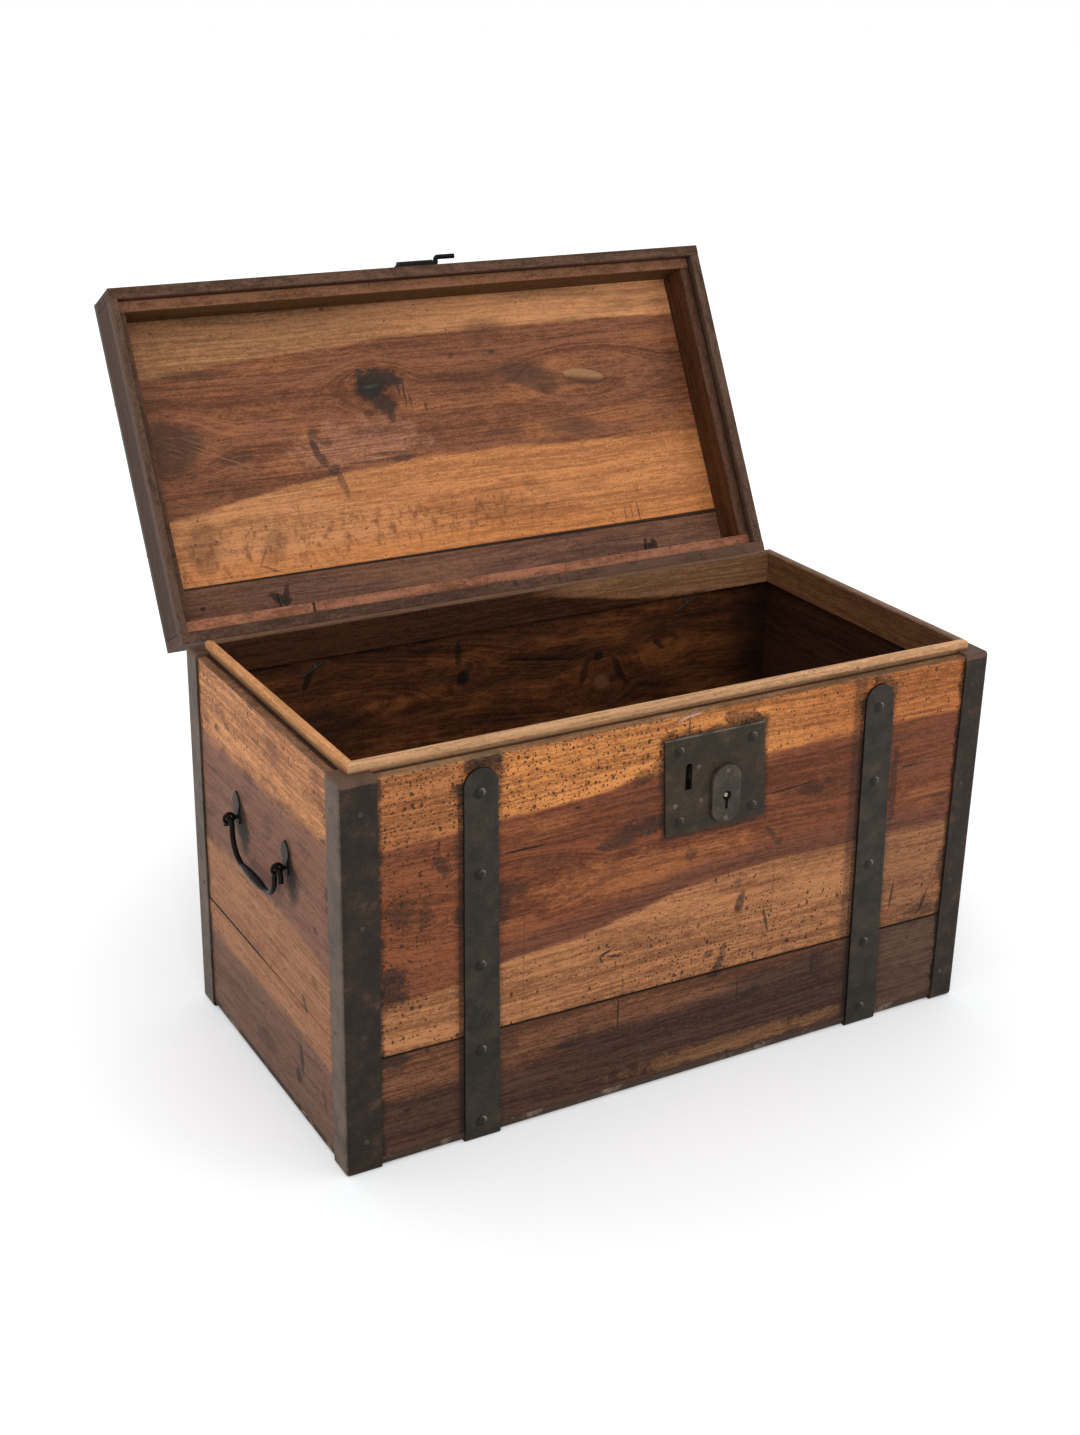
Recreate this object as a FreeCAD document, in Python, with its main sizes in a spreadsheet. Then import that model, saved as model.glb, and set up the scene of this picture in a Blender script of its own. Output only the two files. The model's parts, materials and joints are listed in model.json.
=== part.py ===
import FreeCAD, Part
import math
import os
import Sketcher

# Wooden trunk with iron corners, two front straps, a hasp lock, two bail handles
# and a tray lid on linked-eye hinges.  Millimetres.  +X runs along the width,
# -Y is the front, +Z is up; the origin is the centre of the underside.
# The lid is drawn open, as far back as its hinges let it go.

doc = FreeCAD.newDocument("chest")
sheet = doc.addObject("Spreadsheet::Sheet", "sizes")


# --- sizes that know their spreadsheet cell ---------------------------------------

class Size:
    """A number together with the spreadsheet expression that gives it."""

    def __init__(self, number, text):
        self.number = float(number)
        self.text = text

    def __add__(self, other):
        other = as_size(other)
        return Size(self.number + other.number, f"({self.text} + {other.text})")

    def __sub__(self, other):
        other = as_size(other)
        return Size(self.number - other.number, f"({self.text} - {other.text})")

    def __mul__(self, other):
        other = as_size(other)
        return Size(self.number * other.number, f"({self.text} * {other.text})")

    def __truediv__(self, other):
        other = as_size(other)
        return Size(self.number / other.number, f"({self.text} / {other.text})")

    def __radd__(self, other):
        return as_size(other) + self

    def __rsub__(self, other):
        return as_size(other) - self

    def __rmul__(self, other):
        return as_size(other) * self

    def __neg__(self):
        return Size(-self.number, f"(0 - {self.text})")


def as_size(value):
    if isinstance(value, Size):
        return value
    return Size(value, f"({value})")


def cosine(angle):
    return Size(math.cos(math.radians(angle.number)), f"cos({angle.text} * 1 deg)")


def sine(angle):
    return Size(math.sin(math.radians(angle.number)), f"sin({angle.text} * 1 deg)")


def slope_angle(rise, run):
    ratio = rise / run
    return Size(math.degrees(math.atan(ratio.number)), f"atan({ratio.text})")


def size(alias, value, meaning):
    """Writes one driving dimension into the spreadsheet and returns it."""
    size.row += 1
    sheet.set(f"A{size.row}", alias)
    sheet.set(f"B{size.row}", str(value))
    sheet.set(f"C{size.row}", meaning)
    sheet.setAlias(f"B{size.row}", alias)
    return Size(value, f"sizes.{alias}")


size.row = 0

# --- driving dimensions -----------------------------------------------------------

# box
body_width = size("body_width", 795, "outside width of the wooden box")
body_depth = size("body_depth", 412, "outside depth of the wooden box")
body_height = size("body_height", 442, "floor to the ledge that the lid sits on")
wall = size("wall", 15, "thickness of the wall boards")
bottom_board = size("bottom_board", 12, "thickness of the bottom boards")
bottom_round = size("bottom_round", 8, "rounding of the bottom boards' outer edges")
bottom_seam = size("bottom_seam", 20, "joint of the bottom boards, from the middle")
front_seam_left = size("front_seam_left", 131, "height of the front joint at its left end")
front_seam_right = size("front_seam_right", 117, "height of the front joint at its right end")
back_seam = size("back_seam", 124, "height of the back joint")
end_seam = size("end_seam", 146, "height of the joint in both ends")
seam_gap = size("seam_gap", 0.8, "shrinkage gap between two boards")

# lip round the opening
lip_thickness = size("lip_thickness", 9, "thickness of the lip strips")
lip_rise = size("lip_rise", 12.8, "lip above the ledge")
lip_depth = size("lip_depth", 41, "height of the lip strips")
lip_round = size("lip_round", 4, "rounding of the lip's top edges")

# irons
iron = size("iron", 2.5, "thickness of the corner irons and plates")
iron_front_leg = size("iron_front_leg", 40, "corner iron, leg on the front or back")
iron_narrow_leg = size("iron_narrow_leg", 32.5, "the narrower leg at the front's right")
iron_end_leg = size("iron_end_leg", 32, "corner iron, leg on the end")
iron_bend = size("iron_bend", 5, "outer bend radius of the corner irons")
iron_nail_low = size("iron_nail_low", 38, "floor to the lowest nail of a corner iron")
iron_nail_drop = size("iron_nail_drop", 34, "ledge to the highest nail of a corner iron")
iron_nail_inset = size("iron_nail_inset", 20, "corner to the nails of a corner iron")

strap_metal = size("strap_metal", 3, "thickness of the straps")
strap_head_width = size("strap_head_width", 37.5, "strap width below its round head")
strap_foot_width = size("strap_foot_width", 42, "strap width at the floor")
strap_head_gap = size("strap_head_gap", 11, "ledge to the top of the straps' round heads")
strap_under = size("strap_under", 42, "length of the strap turned under the bottom")
strap_bend = size("strap_bend", 4, "outer bend radius of the straps")
left_head_inset = size("left_head_inset", 149.5, "left end to the middle of the left strap's head")
left_foot_inset = size("left_foot_inset", 155, "left end to the middle of the left strap's foot")
right_head_inset = size("right_head_inset", 150, "right end to the middle of the right strap's head")
right_foot_inset = size("right_foot_inset", 138, "right end to the middle of the right strap's foot")
strap_nail_first = size("strap_nail_first", 23, "floor to a strap's lowest nail")
strap_nail_second = size("strap_nail_second", 110, "floor to a strap's second nail")
strap_nail_third = size("strap_nail_third", 211, "floor to a strap's third nail")
strap_nail_fourth = size("strap_nail_fourth", 315, "floor to a strap's fourth nail")
strap_nail_fifth = size("strap_nail_fifth", 405, "floor to a strap's highest nail")

# nails
nail_head = size("nail_head", 4.6, "radius of the large nail heads")
nail_rise = size("nail_rise", 1.7, "height of the large nail heads")
small_head = size("small_head", 2.9, "radius of the small nail and rivet heads")
small_rise = size("small_rise", 1.2, "height of the small nail and rivet heads")
nail_shank = size("nail_shank", 1.5, "radius of the nail and rivet shanks")
nail_length = size("nail_length", 11, "nail in the wood")
nail_fit = size("nail_fit", 0.05, "gap round a shank in its hole")

# lock plate and keyhole
plate_middle = size("plate_middle", 32.5, "middle of the lock plate, across")
plate_width = size("plate_width", 126, "width of the lock plate")
plate_gap = size("plate_gap", 25, "ledge to the top of the lock plate")
plate_height = size("plate_height", 111, "height of the lock plate")
plate_lean = size("plate_lean", 6, "bottom of the plate to the right of its top")
plate_nail_left = size("plate_nail_left", 19, "plate's left edge to its nails")
plate_nail_right = size("plate_nail_right", 14.2, "plate's right edge to its nails")
plate_nail_drop = size("plate_nail_drop", 15, "plate's top or bottom edge to its nails")
slot_middle = size("slot_middle", -1.75, "middle of the hasp slot, across")
slot_width = size("slot_width", 8.3, "width of the hasp slot")
slot_drop = size("slot_drop", 31, "top of the plate to the top of the hasp slot")
slot_height = size("slot_height", 30, "height of the hasp slot")
key_middle = size("key_middle", 45.5, "middle of the keyhole, across")
key_drop = size("key_drop", 75.6, "top of the plate to the middle of the keyhole's round part")
key_round = size("key_round", 5.2, "radius of the keyhole's round part")
key_slit = size("key_slit", 3.8, "width of the keyhole's slit")
key_reach = size("key_reach", 15.4, "keyhole centre to the end of its slit")
cover_width = size("cover_width", 36.3, "width of the oval keyhole cover")
cover_height = size("cover_height", 67.4, "height of the oval keyhole cover")
cover_metal = size("cover_metal", 4.5, "thickness of the oval keyhole cover")
cover_above = size("cover_above", 35.6, "keyhole centre to the top of its cover")
cover_rivet_inset = size("cover_rivet_inset", 6, "cover end to its rivet")
cover_round = size("cover_round", 1.6, "rounding of the cover's rim")
side_rivet = size("side_rivet", -17, "small nail left of the lock case, across")
case_rivet = size("case_rivet", 15.7, "rivet right through the lock case, across")
rivet_drop = size("rivet_drop", 77, "top of the plate to both of these")

# lock works
case_left = size("case_left", -14, "left side of the lock case")
case_width = size("case_width", 80, "width of the lock case")
case_drop = size("case_drop", 23, "top of the plate to the top of the lock case")
case_height = size("case_height", 70, "height of the lock case")
case_depth = size("case_depth", 23, "depth of the lock case behind the plate")
case_sheet = size("case_sheet", 1.5, "sheet of the lock case")
case_fit = size("case_fit", 0.3, "gap between the case and its mortise")
bolt_height = size("bolt_height", 10, "height of the bolt")
bolt_drop = size("bolt_drop", 2, "middle of the slot to the middle of the bolt")
bolt_metal = size("bolt_metal", 5, "thickness of the bolt")
bolt_back = size("bolt_back", 5, "plate to the bolt")
bolt_length = size("bolt_length", 52, "length of the bolt")
bolt_rest = size("bolt_rest", 9, "staple's middle to the drawn bolt's tip")
talon_length = size("talon_length", 20, "length of the deep part of the bolt")
talon_drop = size("talon_drop", 12, "depth of the deep part below the bolt")
talon_notch = size("talon_notch", 9, "width of the key's notch in the bolt")
keeper_width = size("keeper_width", 6, "width of the bolt's keeper")
keeper_foot = size("keeper_foot", 6.4, "height of the keeper's foot behind the plate")
keeper_metal = size("keeper_metal", 2.4, "thickness of the bolt's keeper")
bolt_fit = size("bolt_fit", 0.4, "gap between the bolt and what guides it")
spring_metal = size("spring_metal", 1, "thickness of the bolt's leaf spring")
key_pin_radius = size("key_pin_radius", 2.4, "radius of the pin for a pipe key")

# linked-eye hinges
lid_open_angle = size("lid_open_angle", 118, "lid from shut to fully open, degrees")
eye_wire = size("eye_wire", 1.5, "radius of the hinge eye's wire")
eye_ring = size("eye_ring", 4, "radius of the hinge eye, to the wire's middle")
eye_gap = size("eye_gap", 1.7, "gap between the hinge eye and the back")
hinge_drop = size("hinge_drop", 4, "hinge line below the ledge")
hinge_left_inset = size("hinge_left_inset", 144.5, "left end to the left hinge")
hinge_right_inset = size("hinge_right_inset", 141.5, "right end to the right hinge")
shank_radius = size("shank_radius", 2.2, "radius of the hinge eyes' shanks")
chest_shank_slope = size("chest_shank_slope", 58.2, "chest eye's shank below level")
lid_shank_slope = size("lid_shank_slope", 59.5, "lid eye's shank above level, lid shut")
clench_wire = size("clench_wire", 1.4, "radius of a bent-over end")
clench_length = size("clench_length", 19, "length of a hinge eye's bent-over end")
handle_clench = size("handle_clench", 12, "length of a handle eye's bent-over end")

# lid
lid_thickness = size("lid_thickness", 69, "outside thickness of the lid")
lid_board = size("lid_board", 14, "thickness of the lid's top boards")
lid_seam = size("lid_seam", 137, "joint of the lid's top boards, from the middle")
lid_round = size("lid_round", 8, "rounding of the lid's top edge")
skirt = size("skirt", 13, "thickness of the lid's skirt")
lid_strip = size("lid_strip", 13, "thickness of the strips inside the lid")
thin_skirt = size("thin_skirt", 9, "thickness of the skirt at the lid's left end")
thin_strip = size("thin_strip", 9, "thickness of the strip at the lid's left end")
lid_gap = size("lid_gap", 0.3, "shut lid to the irons on the ledge")
lip_gap = size("lip_gap", 1, "shut lid's strips above the lip")
lid_nail_end = size("lid_nail_end", 37.5, "lid's end to the last nail along its front or back")
lid_nail_side = size("lid_nail_side", 116, "lid's front or back to the nearest nail of its ends")

# hasp
hasp_rise = size("hasp_rise", 22, "lid's rim to the hasp's pin")
barrel = size("barrel", 6, "radius of the hasp's knuckles")
barrel_gap = size("barrel_gap", 0.6, "hasp's knuckle to the lid's skirt")
pin_radius = size("pin_radius", 3, "radius of the hasp's pin")
pin_fit = size("pin_fit", 0.05, "gap round the pin in the hasp")
pin_point = size("pin_point", 4.5, "length of the pin's pointed end")
pin_tip = size("pin_tip", 1, "radius of the pin's very tip")
hasp_knuckle = size("hasp_knuckle", 20, "length of the hasp's own knuckle")
plate_knuckle = size("plate_knuckle", 13, "length of each knuckle of the hinge plate")
knuckle_gap = size("knuckle_gap", 0.3, "gap between two knuckles")
hinge_plate_low = size("hinge_plate_low", 30, "lid's rim to the hinge plate")
hinge_plate_high = size("hinge_plate_high", 54, "lid's rim to the hinge plate's top")
hasp_metal = size("hasp_metal", 3, "thickness of the hasp")
hasp_width = size("hasp_width", 36, "width of the hasp")
hasp_tip_width = size("hasp_tip_width", 24, "width of the hasp at its end")
hasp_length = size("hasp_length", 120, "hasp's pin to the end of the hasp")
staple_wide = size("staple_wide", 5, "width of the hasp's staple")
staple_high = size("staple_high", 22, "height of the hasp's staple")
staple_out = size("staple_out", 19.5, "staple behind the hasp")
staple_bar = size("staple_bar", 3, "thickness of the staple's bar")
crank_run = size("crank_run", 6, "knuckle to the pin's crank")
crank_rise = size("crank_rise", 9, "offset of the pin's crank")
crank_finger = size("crank_finger", 26, "length of the finger past the crank")
crank_bend = size("crank_bend", 4, "bend radius of the crank")

# handles
handle_middle = size("handle_middle", 3, "middle of the handles, front to back")
handle_below = size("handle_below", 149, "ledge to the handles' eyes")
handle_spread = size("handle_spread", 136, "distance between a handle's two eyes")
handle_out = size("handle_out", 10.5, "end board to the handle's pivot")
handle_ring = size("handle_ring", 5.6, "radius of the handle's eye, to the wire's middle")
handle_wire = size("handle_wire", 1.9, "radius of the handle eye's wire")
leaf_metal = size("leaf_metal", 2, "thickness of the leaf plates")
leaf_width = size("leaf_width", 20, "width of the leaf plates")
leaf_above = size("leaf_above", 31, "eye to the tip of the leaf plate")
leaf_below = size("leaf_below", 10, "eye to the foot of the leaf plate")
bail_wire = size("bail_wire", 3.1, "radius of the bail's bar")
bail_grip = size("bail_grip", 5, "radius of the bail's grip at its middle")
bail_drop = size("bail_drop", 41, "pivot to the bottom bar of the bail")
bail_inside = size("bail_inside", 8.5, "eye to the bail's leg")
bail_outside = size("bail_outside", 9, "eye to the bail's turned-down end")
bail_hook = size("bail_hook", 12, "length of the bail's turned-down end")
bail_bend = size("bail_bend", 6, "bend radius at the bail's eyes")
bail_corner = size("bail_corner", 28, "bend radius at the bail's lower corners")

# --- places worked out from the sizes ----------------------------------------------

half_width = body_width / 2
half_depth = body_depth / 2
inner_width = half_width - wall
inner_depth = half_depth - wall
opening_width = inner_width - lip_thickness
opening_depth = inner_depth - lip_thickness
lip_top = body_height + lip_rise
lip_foot = lip_top - lip_depth
plate_face = half_depth + iron
handle_height = body_height - handle_below

strap_top = body_height - strap_head_gap
left_strap_head = left_head_inset - half_width
left_strap_foot = left_foot_inset - half_width
right_strap_head = half_width - right_head_inset
right_strap_foot = half_width - right_foot_inset

plate_top = body_height - plate_gap
plate_low = plate_top - plate_height
slot_top = plate_top - slot_drop
slot_bottom = slot_top - slot_height
key_height = plate_top - key_drop

hinge_y = half_depth + eye_ring + eye_wire + eye_gap
hinge_z = body_height - hinge_drop
hinge_left = hinge_left_inset - half_width
hinge_right = half_width - hinge_right_inset

# places in the lid are measured from the hinge line, with the lid shut
rim = iron + lid_gap + hinge_drop
skirt_top = rim + lid_thickness - lid_board
lid_top = rim + lid_thickness
strip_low = lip_rise + lip_gap + hinge_drop
lid_front = -half_depth - hinge_y
lid_back = half_depth - hinge_y

hasp_y = lid_front - barrel - barrel_gap
hasp_z = rim + hasp_rise
hasp_pin_height = hinge_z + hasp_z

case_right = case_left + case_width
case_top = plate_top - case_drop
case_bottom = case_top - case_height
case_back = -half_depth + case_depth
staple_middle = (slot_top + slot_bottom) / 2
bolt_middle = staple_middle - bolt_drop
bolt_front = -half_depth + bolt_back
bolt_low = bolt_middle - bolt_height / 2
bolt_high = bolt_middle + bolt_height / 2
bolt_tip = slot_middle + bolt_rest
bolt_tail = bolt_tip + bolt_length


# --- drawing helpers ----------------------------------------------------------------

# the direction of each origin plane's normal along its own axis
NORMAL = {"XY_Plane": 1, "XZ_Plane": -1, "YZ_Plane": 1}


def bind(thing, name, value):
    """Ties a property to its size."""
    thing.setExpression(name, as_size(value).text)


def new_body(label):
    body = doc.addObject("PartDesign::Body", label)
    body.Label = label
    return body


def sketch_on(body, name, plane, level, shift_up=None):
    """A sketch on the body's own origin plane, moved to a level along that plane's axis."""
    sketch = body.newObject("Sketcher::SketchObject", name)
    for feature in body.Origin.OriginFeatures:
        if feature.Role == plane:
            sketch.AttachmentSupport = (feature, [""])
    sketch.MapMode = "FlatFace"
    bind(sketch, "AttachmentOffset.Base.z", as_size(level) * NORMAL[plane])
    if shift_up is not None:
        bind(sketch, "AttachmentOffset.Base.y", shift_up)
    return sketch


def hold(sketch, kind, geometry, vertex, value):
    """Ties one coordinate of a sketch point to its size."""
    value = as_size(value)
    distance = Sketcher.Constraint(kind, -1, 1, geometry, vertex, value.number)
    index = sketch.addConstraint(distance)
    sketch.setExpression(f"Constraints[{index}]", value.text)


def hold_point(sketch, geometry, vertex, point):
    hold(sketch, "DistanceX", geometry, vertex, point[0])
    hold(sketch, "DistanceY", geometry, vertex, point[1])


def hold_radius(sketch, geometry, value):
    value = as_size(value)
    index = sketch.addConstraint(Sketcher.Constraint("Radius", geometry, value.number))
    sketch.setExpression(f"Constraints[{index}]", value.text)


def flat_vector(point):
    return FreeCAD.Vector(as_size(point[0]).number, as_size(point[1]).number, 0)


def polygon(sketch, corners):
    """A closed outline with straight sides."""
    lines = []
    for start, end in zip(corners, corners[1:] + corners[:1]):
        segment = Part.LineSegment(flat_vector(start), flat_vector(end))
        lines.append(sketch.addGeometry(segment, False))
    for index, line in enumerate(lines):
        following = lines[(index + 1) % len(lines)]
        sketch.addConstraint(Sketcher.Constraint("Coincident", line, 2, following, 1))
        hold_point(sketch, line, 1, corners[index])


def rectangle(sketch, left, right, low, high):
    polygon(sketch, [(left, low), (right, low), (right, high), (left, high)])


def circle(sketch, centre, radius):
    radius = as_size(radius)
    ring = Part.Circle(flat_vector(centre), FreeCAD.Vector(0, 0, 1), radius.number)
    geometry = sketch.addGeometry(ring, False)
    hold_point(sketch, geometry, 3, centre)
    hold_radius(sketch, geometry, radius)


def capped(sketch, corners, cap_height):
    """An outline open between its last and first corner, closed there by a half circle.

    The first corner is the cap's left end, the last its right end, the outline runs
    round below them, and the cap bulges upwards."""
    lines = []
    for start, end in zip(corners, corners[1:]):
        segment = Part.LineSegment(flat_vector(start), flat_vector(end))
        lines.append(sketch.addGeometry(segment, False))
    left = flat_vector(corners[0])
    right = flat_vector(corners[-1])
    ring = Part.Circle((left + right) * 0.5, FreeCAD.Vector(0, 0, 1), (right.x - left.x) / 2)
    arc = sketch.addGeometry(Part.ArcOfCircle(ring, 0, math.pi), False)
    for first, second in zip(lines, lines[1:]):
        sketch.addConstraint(Sketcher.Constraint("Coincident", first, 2, second, 1))
    for line, corner in zip(lines, corners):
        hold_point(sketch, line, 1, corner)
    hold_point(sketch, lines[-1], 2, corners[-1])
    sketch.addConstraint(Sketcher.Constraint("Coincident", arc, 1, lines[-1], 2))
    sketch.addConstraint(Sketcher.Constraint("Coincident", arc, 2, lines[0], 1))
    hold(sketch, "DistanceY", arc, 3, cap_height)


def stadium(sketch, centre, width, height):
    """An upright oval with straight sides and half-round ends."""
    across, up = centre
    radius = width / 2
    left = across - radius
    right = across + radius
    low = up - height / 2 + radius
    high = up + height / 2 - radius
    side_line = Part.LineSegment(flat_vector((right, low)), flat_vector((right, high)))
    other_line = Part.LineSegment(flat_vector((left, high)), flat_vector((left, low)))
    side = sketch.addGeometry(side_line, False)
    other = sketch.addGeometry(other_line, False)
    axis = FreeCAD.Vector(0, 0, 1)
    top_ring = Part.Circle(flat_vector((across, high)), axis, radius.number)
    low_ring = Part.Circle(flat_vector((across, low)), axis, radius.number)
    top = sketch.addGeometry(Part.ArcOfCircle(top_ring, 0, math.pi), False)
    bottom = sketch.addGeometry(Part.ArcOfCircle(low_ring, math.pi, 2 * math.pi), False)
    hold_point(sketch, side, 1, (right, low))
    hold_point(sketch, side, 2, (right, high))
    hold_point(sketch, other, 1, (left, high))
    hold_point(sketch, other, 2, (left, low))
    sketch.addConstraint(Sketcher.Constraint("Coincident", top, 1, side, 2))
    sketch.addConstraint(Sketcher.Constraint("Coincident", top, 2, other, 1))
    sketch.addConstraint(Sketcher.Constraint("Coincident", bottom, 1, other, 2))
    sketch.addConstraint(Sketcher.Constraint("Coincident", bottom, 2, side, 1))
    hold(sketch, "DistanceY", top, 3, high)
    hold(sketch, "DistanceY", bottom, 3, low)


def route(sketch, corners, radii):
    """An open path of level and upright runs, joined by tangent quarter bends."""
    points = [flat_vector(corner) for corner in corners]
    ways = [(end - start).normalize() for start, end in zip(points, points[1:])]
    bends = [0] + [radius.number for radius in radii] + [0]
    lines = []
    for index, way in enumerate(ways):
        start = points[index] + way * bends[index]
        end = points[index + 1] - way * bends[index + 1]
        lines.append(sketch.addGeometry(Part.LineSegment(start, end), False))
        level = abs(way.y) < 0.5
        sketch.addConstraint(Sketcher.Constraint("Horizontal" if level else "Vertical", lines[-1]))
        if level:
            hold(sketch, "DistanceY", lines[-1], 1, corners[index][1])
        else:
            hold(sketch, "DistanceX", lines[-1], 1, corners[index][0])
    for index, radius in enumerate(radii):
        before, after = ways[index], ways[index + 1]
        corner = points[index + 1]
        centre = corner - before * radius.number + after * radius.number
        first = corner - before * radius.number - centre
        last = corner + after * radius.number - centre
        turns_left = before.x * after.y - before.y * after.x > 0
        start, end = (first, last) if turns_left else (last, first)
        ring = Part.Circle(centre, FreeCAD.Vector(0, 0, 1), radius.number)
        sweep_from = math.atan2(start.y, start.x)
        sweep_to = math.atan2(end.y, end.x)
        if sweep_to < sweep_from:
            sweep_to += 2 * math.pi
        arc = sketch.addGeometry(Part.ArcOfCircle(ring, sweep_from, sweep_to), False)
        near, far = (1, 2) if turns_left else (2, 1)
        sketch.addConstraint(Sketcher.Constraint("Tangent", lines[index], 2, arc, near))
        sketch.addConstraint(Sketcher.Constraint("Tangent", lines[index + 1], 1, arc, far))
        hold_radius(sketch, arc, radius)
    first_level = abs(ways[0].y) < 0.5
    last_level = abs(ways[-1].y) < 0.5
    hold(sketch, "DistanceX" if first_level else "DistanceY", lines[0], 1,
         corners[0][0] if first_level else corners[0][1])
    hold(sketch, "DistanceX" if last_level else "DistanceY", lines[-1], 2,
         corners[-1][0] if last_level else corners[-1][1])


# --- feature helpers ------------------------------------------------------------------

def pad(body, name, plane, low, high, draw):
    """Adds a prism of the drawn outline, from a low to a high level of the plane's axis."""
    level = high if plane == "XZ_Plane" else low
    sketch = sketch_on(body, name + "_outline", plane, level)
    draw(sketch)
    feature = body.newObject("PartDesign::Pad", name)
    feature.Profile = sketch
    bind(feature, "Length", as_size(high) - low)
    return feature


def cut(body, name, plane, low, high, draw):
    """Takes away a prism of the drawn outline, between two levels of the plane's axis."""
    level = low if plane == "XZ_Plane" else high
    sketch = sketch_on(body, name + "_outline", plane, level)
    draw(sketch)
    feature = body.newObject("PartDesign::Pocket", name)
    feature.Profile = sketch
    bind(feature, "Length", as_size(high) - low)
    return feature


def drill(body, name, plane, low, high, spots, radius):
    """Holes at the spots, through or into a piece."""
    if spots:
        cut(body, name, plane, low, high, lambda sketch: circles(sketch, spots, radius))


def circles(sketch, spots, radius):
    for spot in spots:
        circle(sketch, spot, radius)


def studs(body, name, plane, spots, surface, outward, head, rise, length):
    """Nails or rivets: a low coned head outside the surface and a shank inside it."""
    surface = as_size(surface)
    for part, radius, depth, way in (("head", head, rise, outward), ("shank", nail_shank, length, -outward)):
        sketch = sketch_on(body, f"{name}_{part}_outline", plane, surface)
        circles(sketch, spots, radius)
        feature = body.newObject("PartDesign::Pad", f"{name}_{part}")
        feature.Profile = sketch
        bind(feature, "Length", depth)
        feature.Reversed = way != NORMAL[plane]
        if part == "head":
            feature.TaperAngle = -50


def round_edges(body, name, radius, test):
    """Rounds the edges of the body's last feature whose middle passes the test."""
    doc.recompute()
    base = body.Tip
    names = []
    for index, edge in enumerate(base.Shape.Edges):
        middle = edge.valueAt((edge.FirstParameter + edge.LastParameter) / 2)
        if test(middle):
            names.append(f"Edge{index + 1}")
    feature = body.newObject("PartDesign::Fillet", name)
    feature.Base = (base, names)
    bind(feature, "Radius", radius)
    return feature


def near(first, second):
    return abs(first - as_size(second).number) < 0.01


def block(label, x_range, y_range, z_range):
    """A squared board or bar, given by its two corners."""
    body = new_body(label)
    pad(body, label + "_length", "XZ_Plane", y_range[0], y_range[1],
        lambda sketch: rectangle(sketch, x_range[0], x_range[1], z_range[0], z_range[1]))
    return body


def on_lid(thing):
    """Carries a piece that is drawn shut, from the hinge line, to the open lid."""
    thing.Placement = FreeCAD.Placement(FreeCAD.Vector(), FreeCAD.Rotation(FreeCAD.Vector(1, 0, 0), -90))
    bind(thing, "Placement.Base.y", hinge_y)
    bind(thing, "Placement.Base.z", hinge_z)
    bind(thing, "Placement.Rotation.Angle", -lid_open_angle)


def on_hasp(thing):
    """Carries a piece that is drawn hanging from the hasp's pin to the folded-back hasp."""
    swing_cos = cosine(lid_open_angle)
    swing_sin = sine(lid_open_angle)
    thing.Placement = FreeCAD.Placement(FreeCAD.Vector(), FreeCAD.Rotation(FreeCAD.Vector(1, 0, 0), -90))
    bind(thing, "Placement.Base.x", slot_middle)
    bind(thing, "Placement.Base.y", hinge_y + swing_cos * hasp_y + swing_sin * hasp_z)
    bind(thing, "Placement.Base.z", hinge_z - swing_sin * hasp_y + swing_cos * hasp_z)
    bind(thing, "Placement.Rotation.Angle", 180 - lid_open_angle)


def rod(name, radius, length, turn_axis, turn, place):
    """A round bar that starts at a place and runs the way that the turn points +Z."""
    bar = doc.addObject("Part::Cylinder", name)
    bind(bar, "Radius", radius)
    bind(bar, "Height", length)
    bar.Placement = FreeCAD.Placement(FreeCAD.Vector(), FreeCAD.Rotation(turn_axis, 90))
    bind(bar, "Placement.Rotation.Angle", turn)
    for axis, value in zip("xyz", place):
        bind(bar, f"Placement.Base.{axis}", value)
    return bar


def loop(name, ring, wire, turn_axis, turn, place):
    """A round eye of wire, its hole along +Z before the turn."""
    eye = doc.addObject("Part::Torus", name)
    bind(eye, "Radius1", ring)
    bind(eye, "Radius2", wire)
    eye.Placement = FreeCAD.Placement(FreeCAD.Vector(), FreeCAD.Rotation(turn_axis, 90))
    bind(eye, "Placement.Rotation.Angle", turn)
    for axis, value in zip("xyz", place):
        bind(eye, f"Placement.Base.{axis}", value)
    return eye


def joined(name, pieces):
    union = doc.addObject("Part::MultiFuse", name)
    union.Shapes = pieces
    return union


def group(label, pieces):
    """Several separate solids of one kind, kept as one sub-part."""
    compound = doc.addObject("Part::Compound", label)
    compound.Label = label
    compound.Links = pieces
    return compound


ALONG_X = FreeCAD.Vector(1, 0, 0)
ALONG_Y = FreeCAD.Vector(0, 1, 0)

nodes = []


# --- where the nails go -----------------------------------------------------------------

def strap_spots(head_middle, foot_middle):
    """Five nails along a strap, on its own slightly leaning middle line."""
    spots = []
    for height in (strap_nail_first, strap_nail_second, strap_nail_third, strap_nail_fourth, strap_nail_fifth):
        across = foot_middle + (head_middle - foot_middle) * height / strap_top
        spots.append((across, height))
    return spots


def iron_heights():
    reach = body_height - iron_nail_drop - iron_nail_low
    return [iron_nail_low + reach * (step / 3) for step in range(4)]


def iron_spots(side):
    """Nails of one corner iron's leg on the front or the back."""
    return [((half_width - iron_nail_inset) * side, height) for height in iron_heights()]


def iron_end_spots(side):
    """Nails of one corner iron's leg on an end."""
    return [((half_depth - iron_nail_inset) * side, height) for height in iron_heights()]


left_strap_spots = strap_spots(left_strap_head, left_strap_foot)
right_strap_spots = strap_spots(right_strap_head, right_strap_foot)
front_iron_spots = iron_spots(-1) + iron_spots(1)
end_iron_spots = iron_end_spots(-1) + iron_end_spots(1)

plate_left = plate_middle - plate_width / 2
plate_right = plate_middle + plate_width / 2


def plate_spot(across, height):
    """A place on the plate, moved sideways as far as the plate leans at that height."""
    return (across + plate_lean * (plate_top - height) / plate_height - plate_lean / 2, height)


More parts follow.
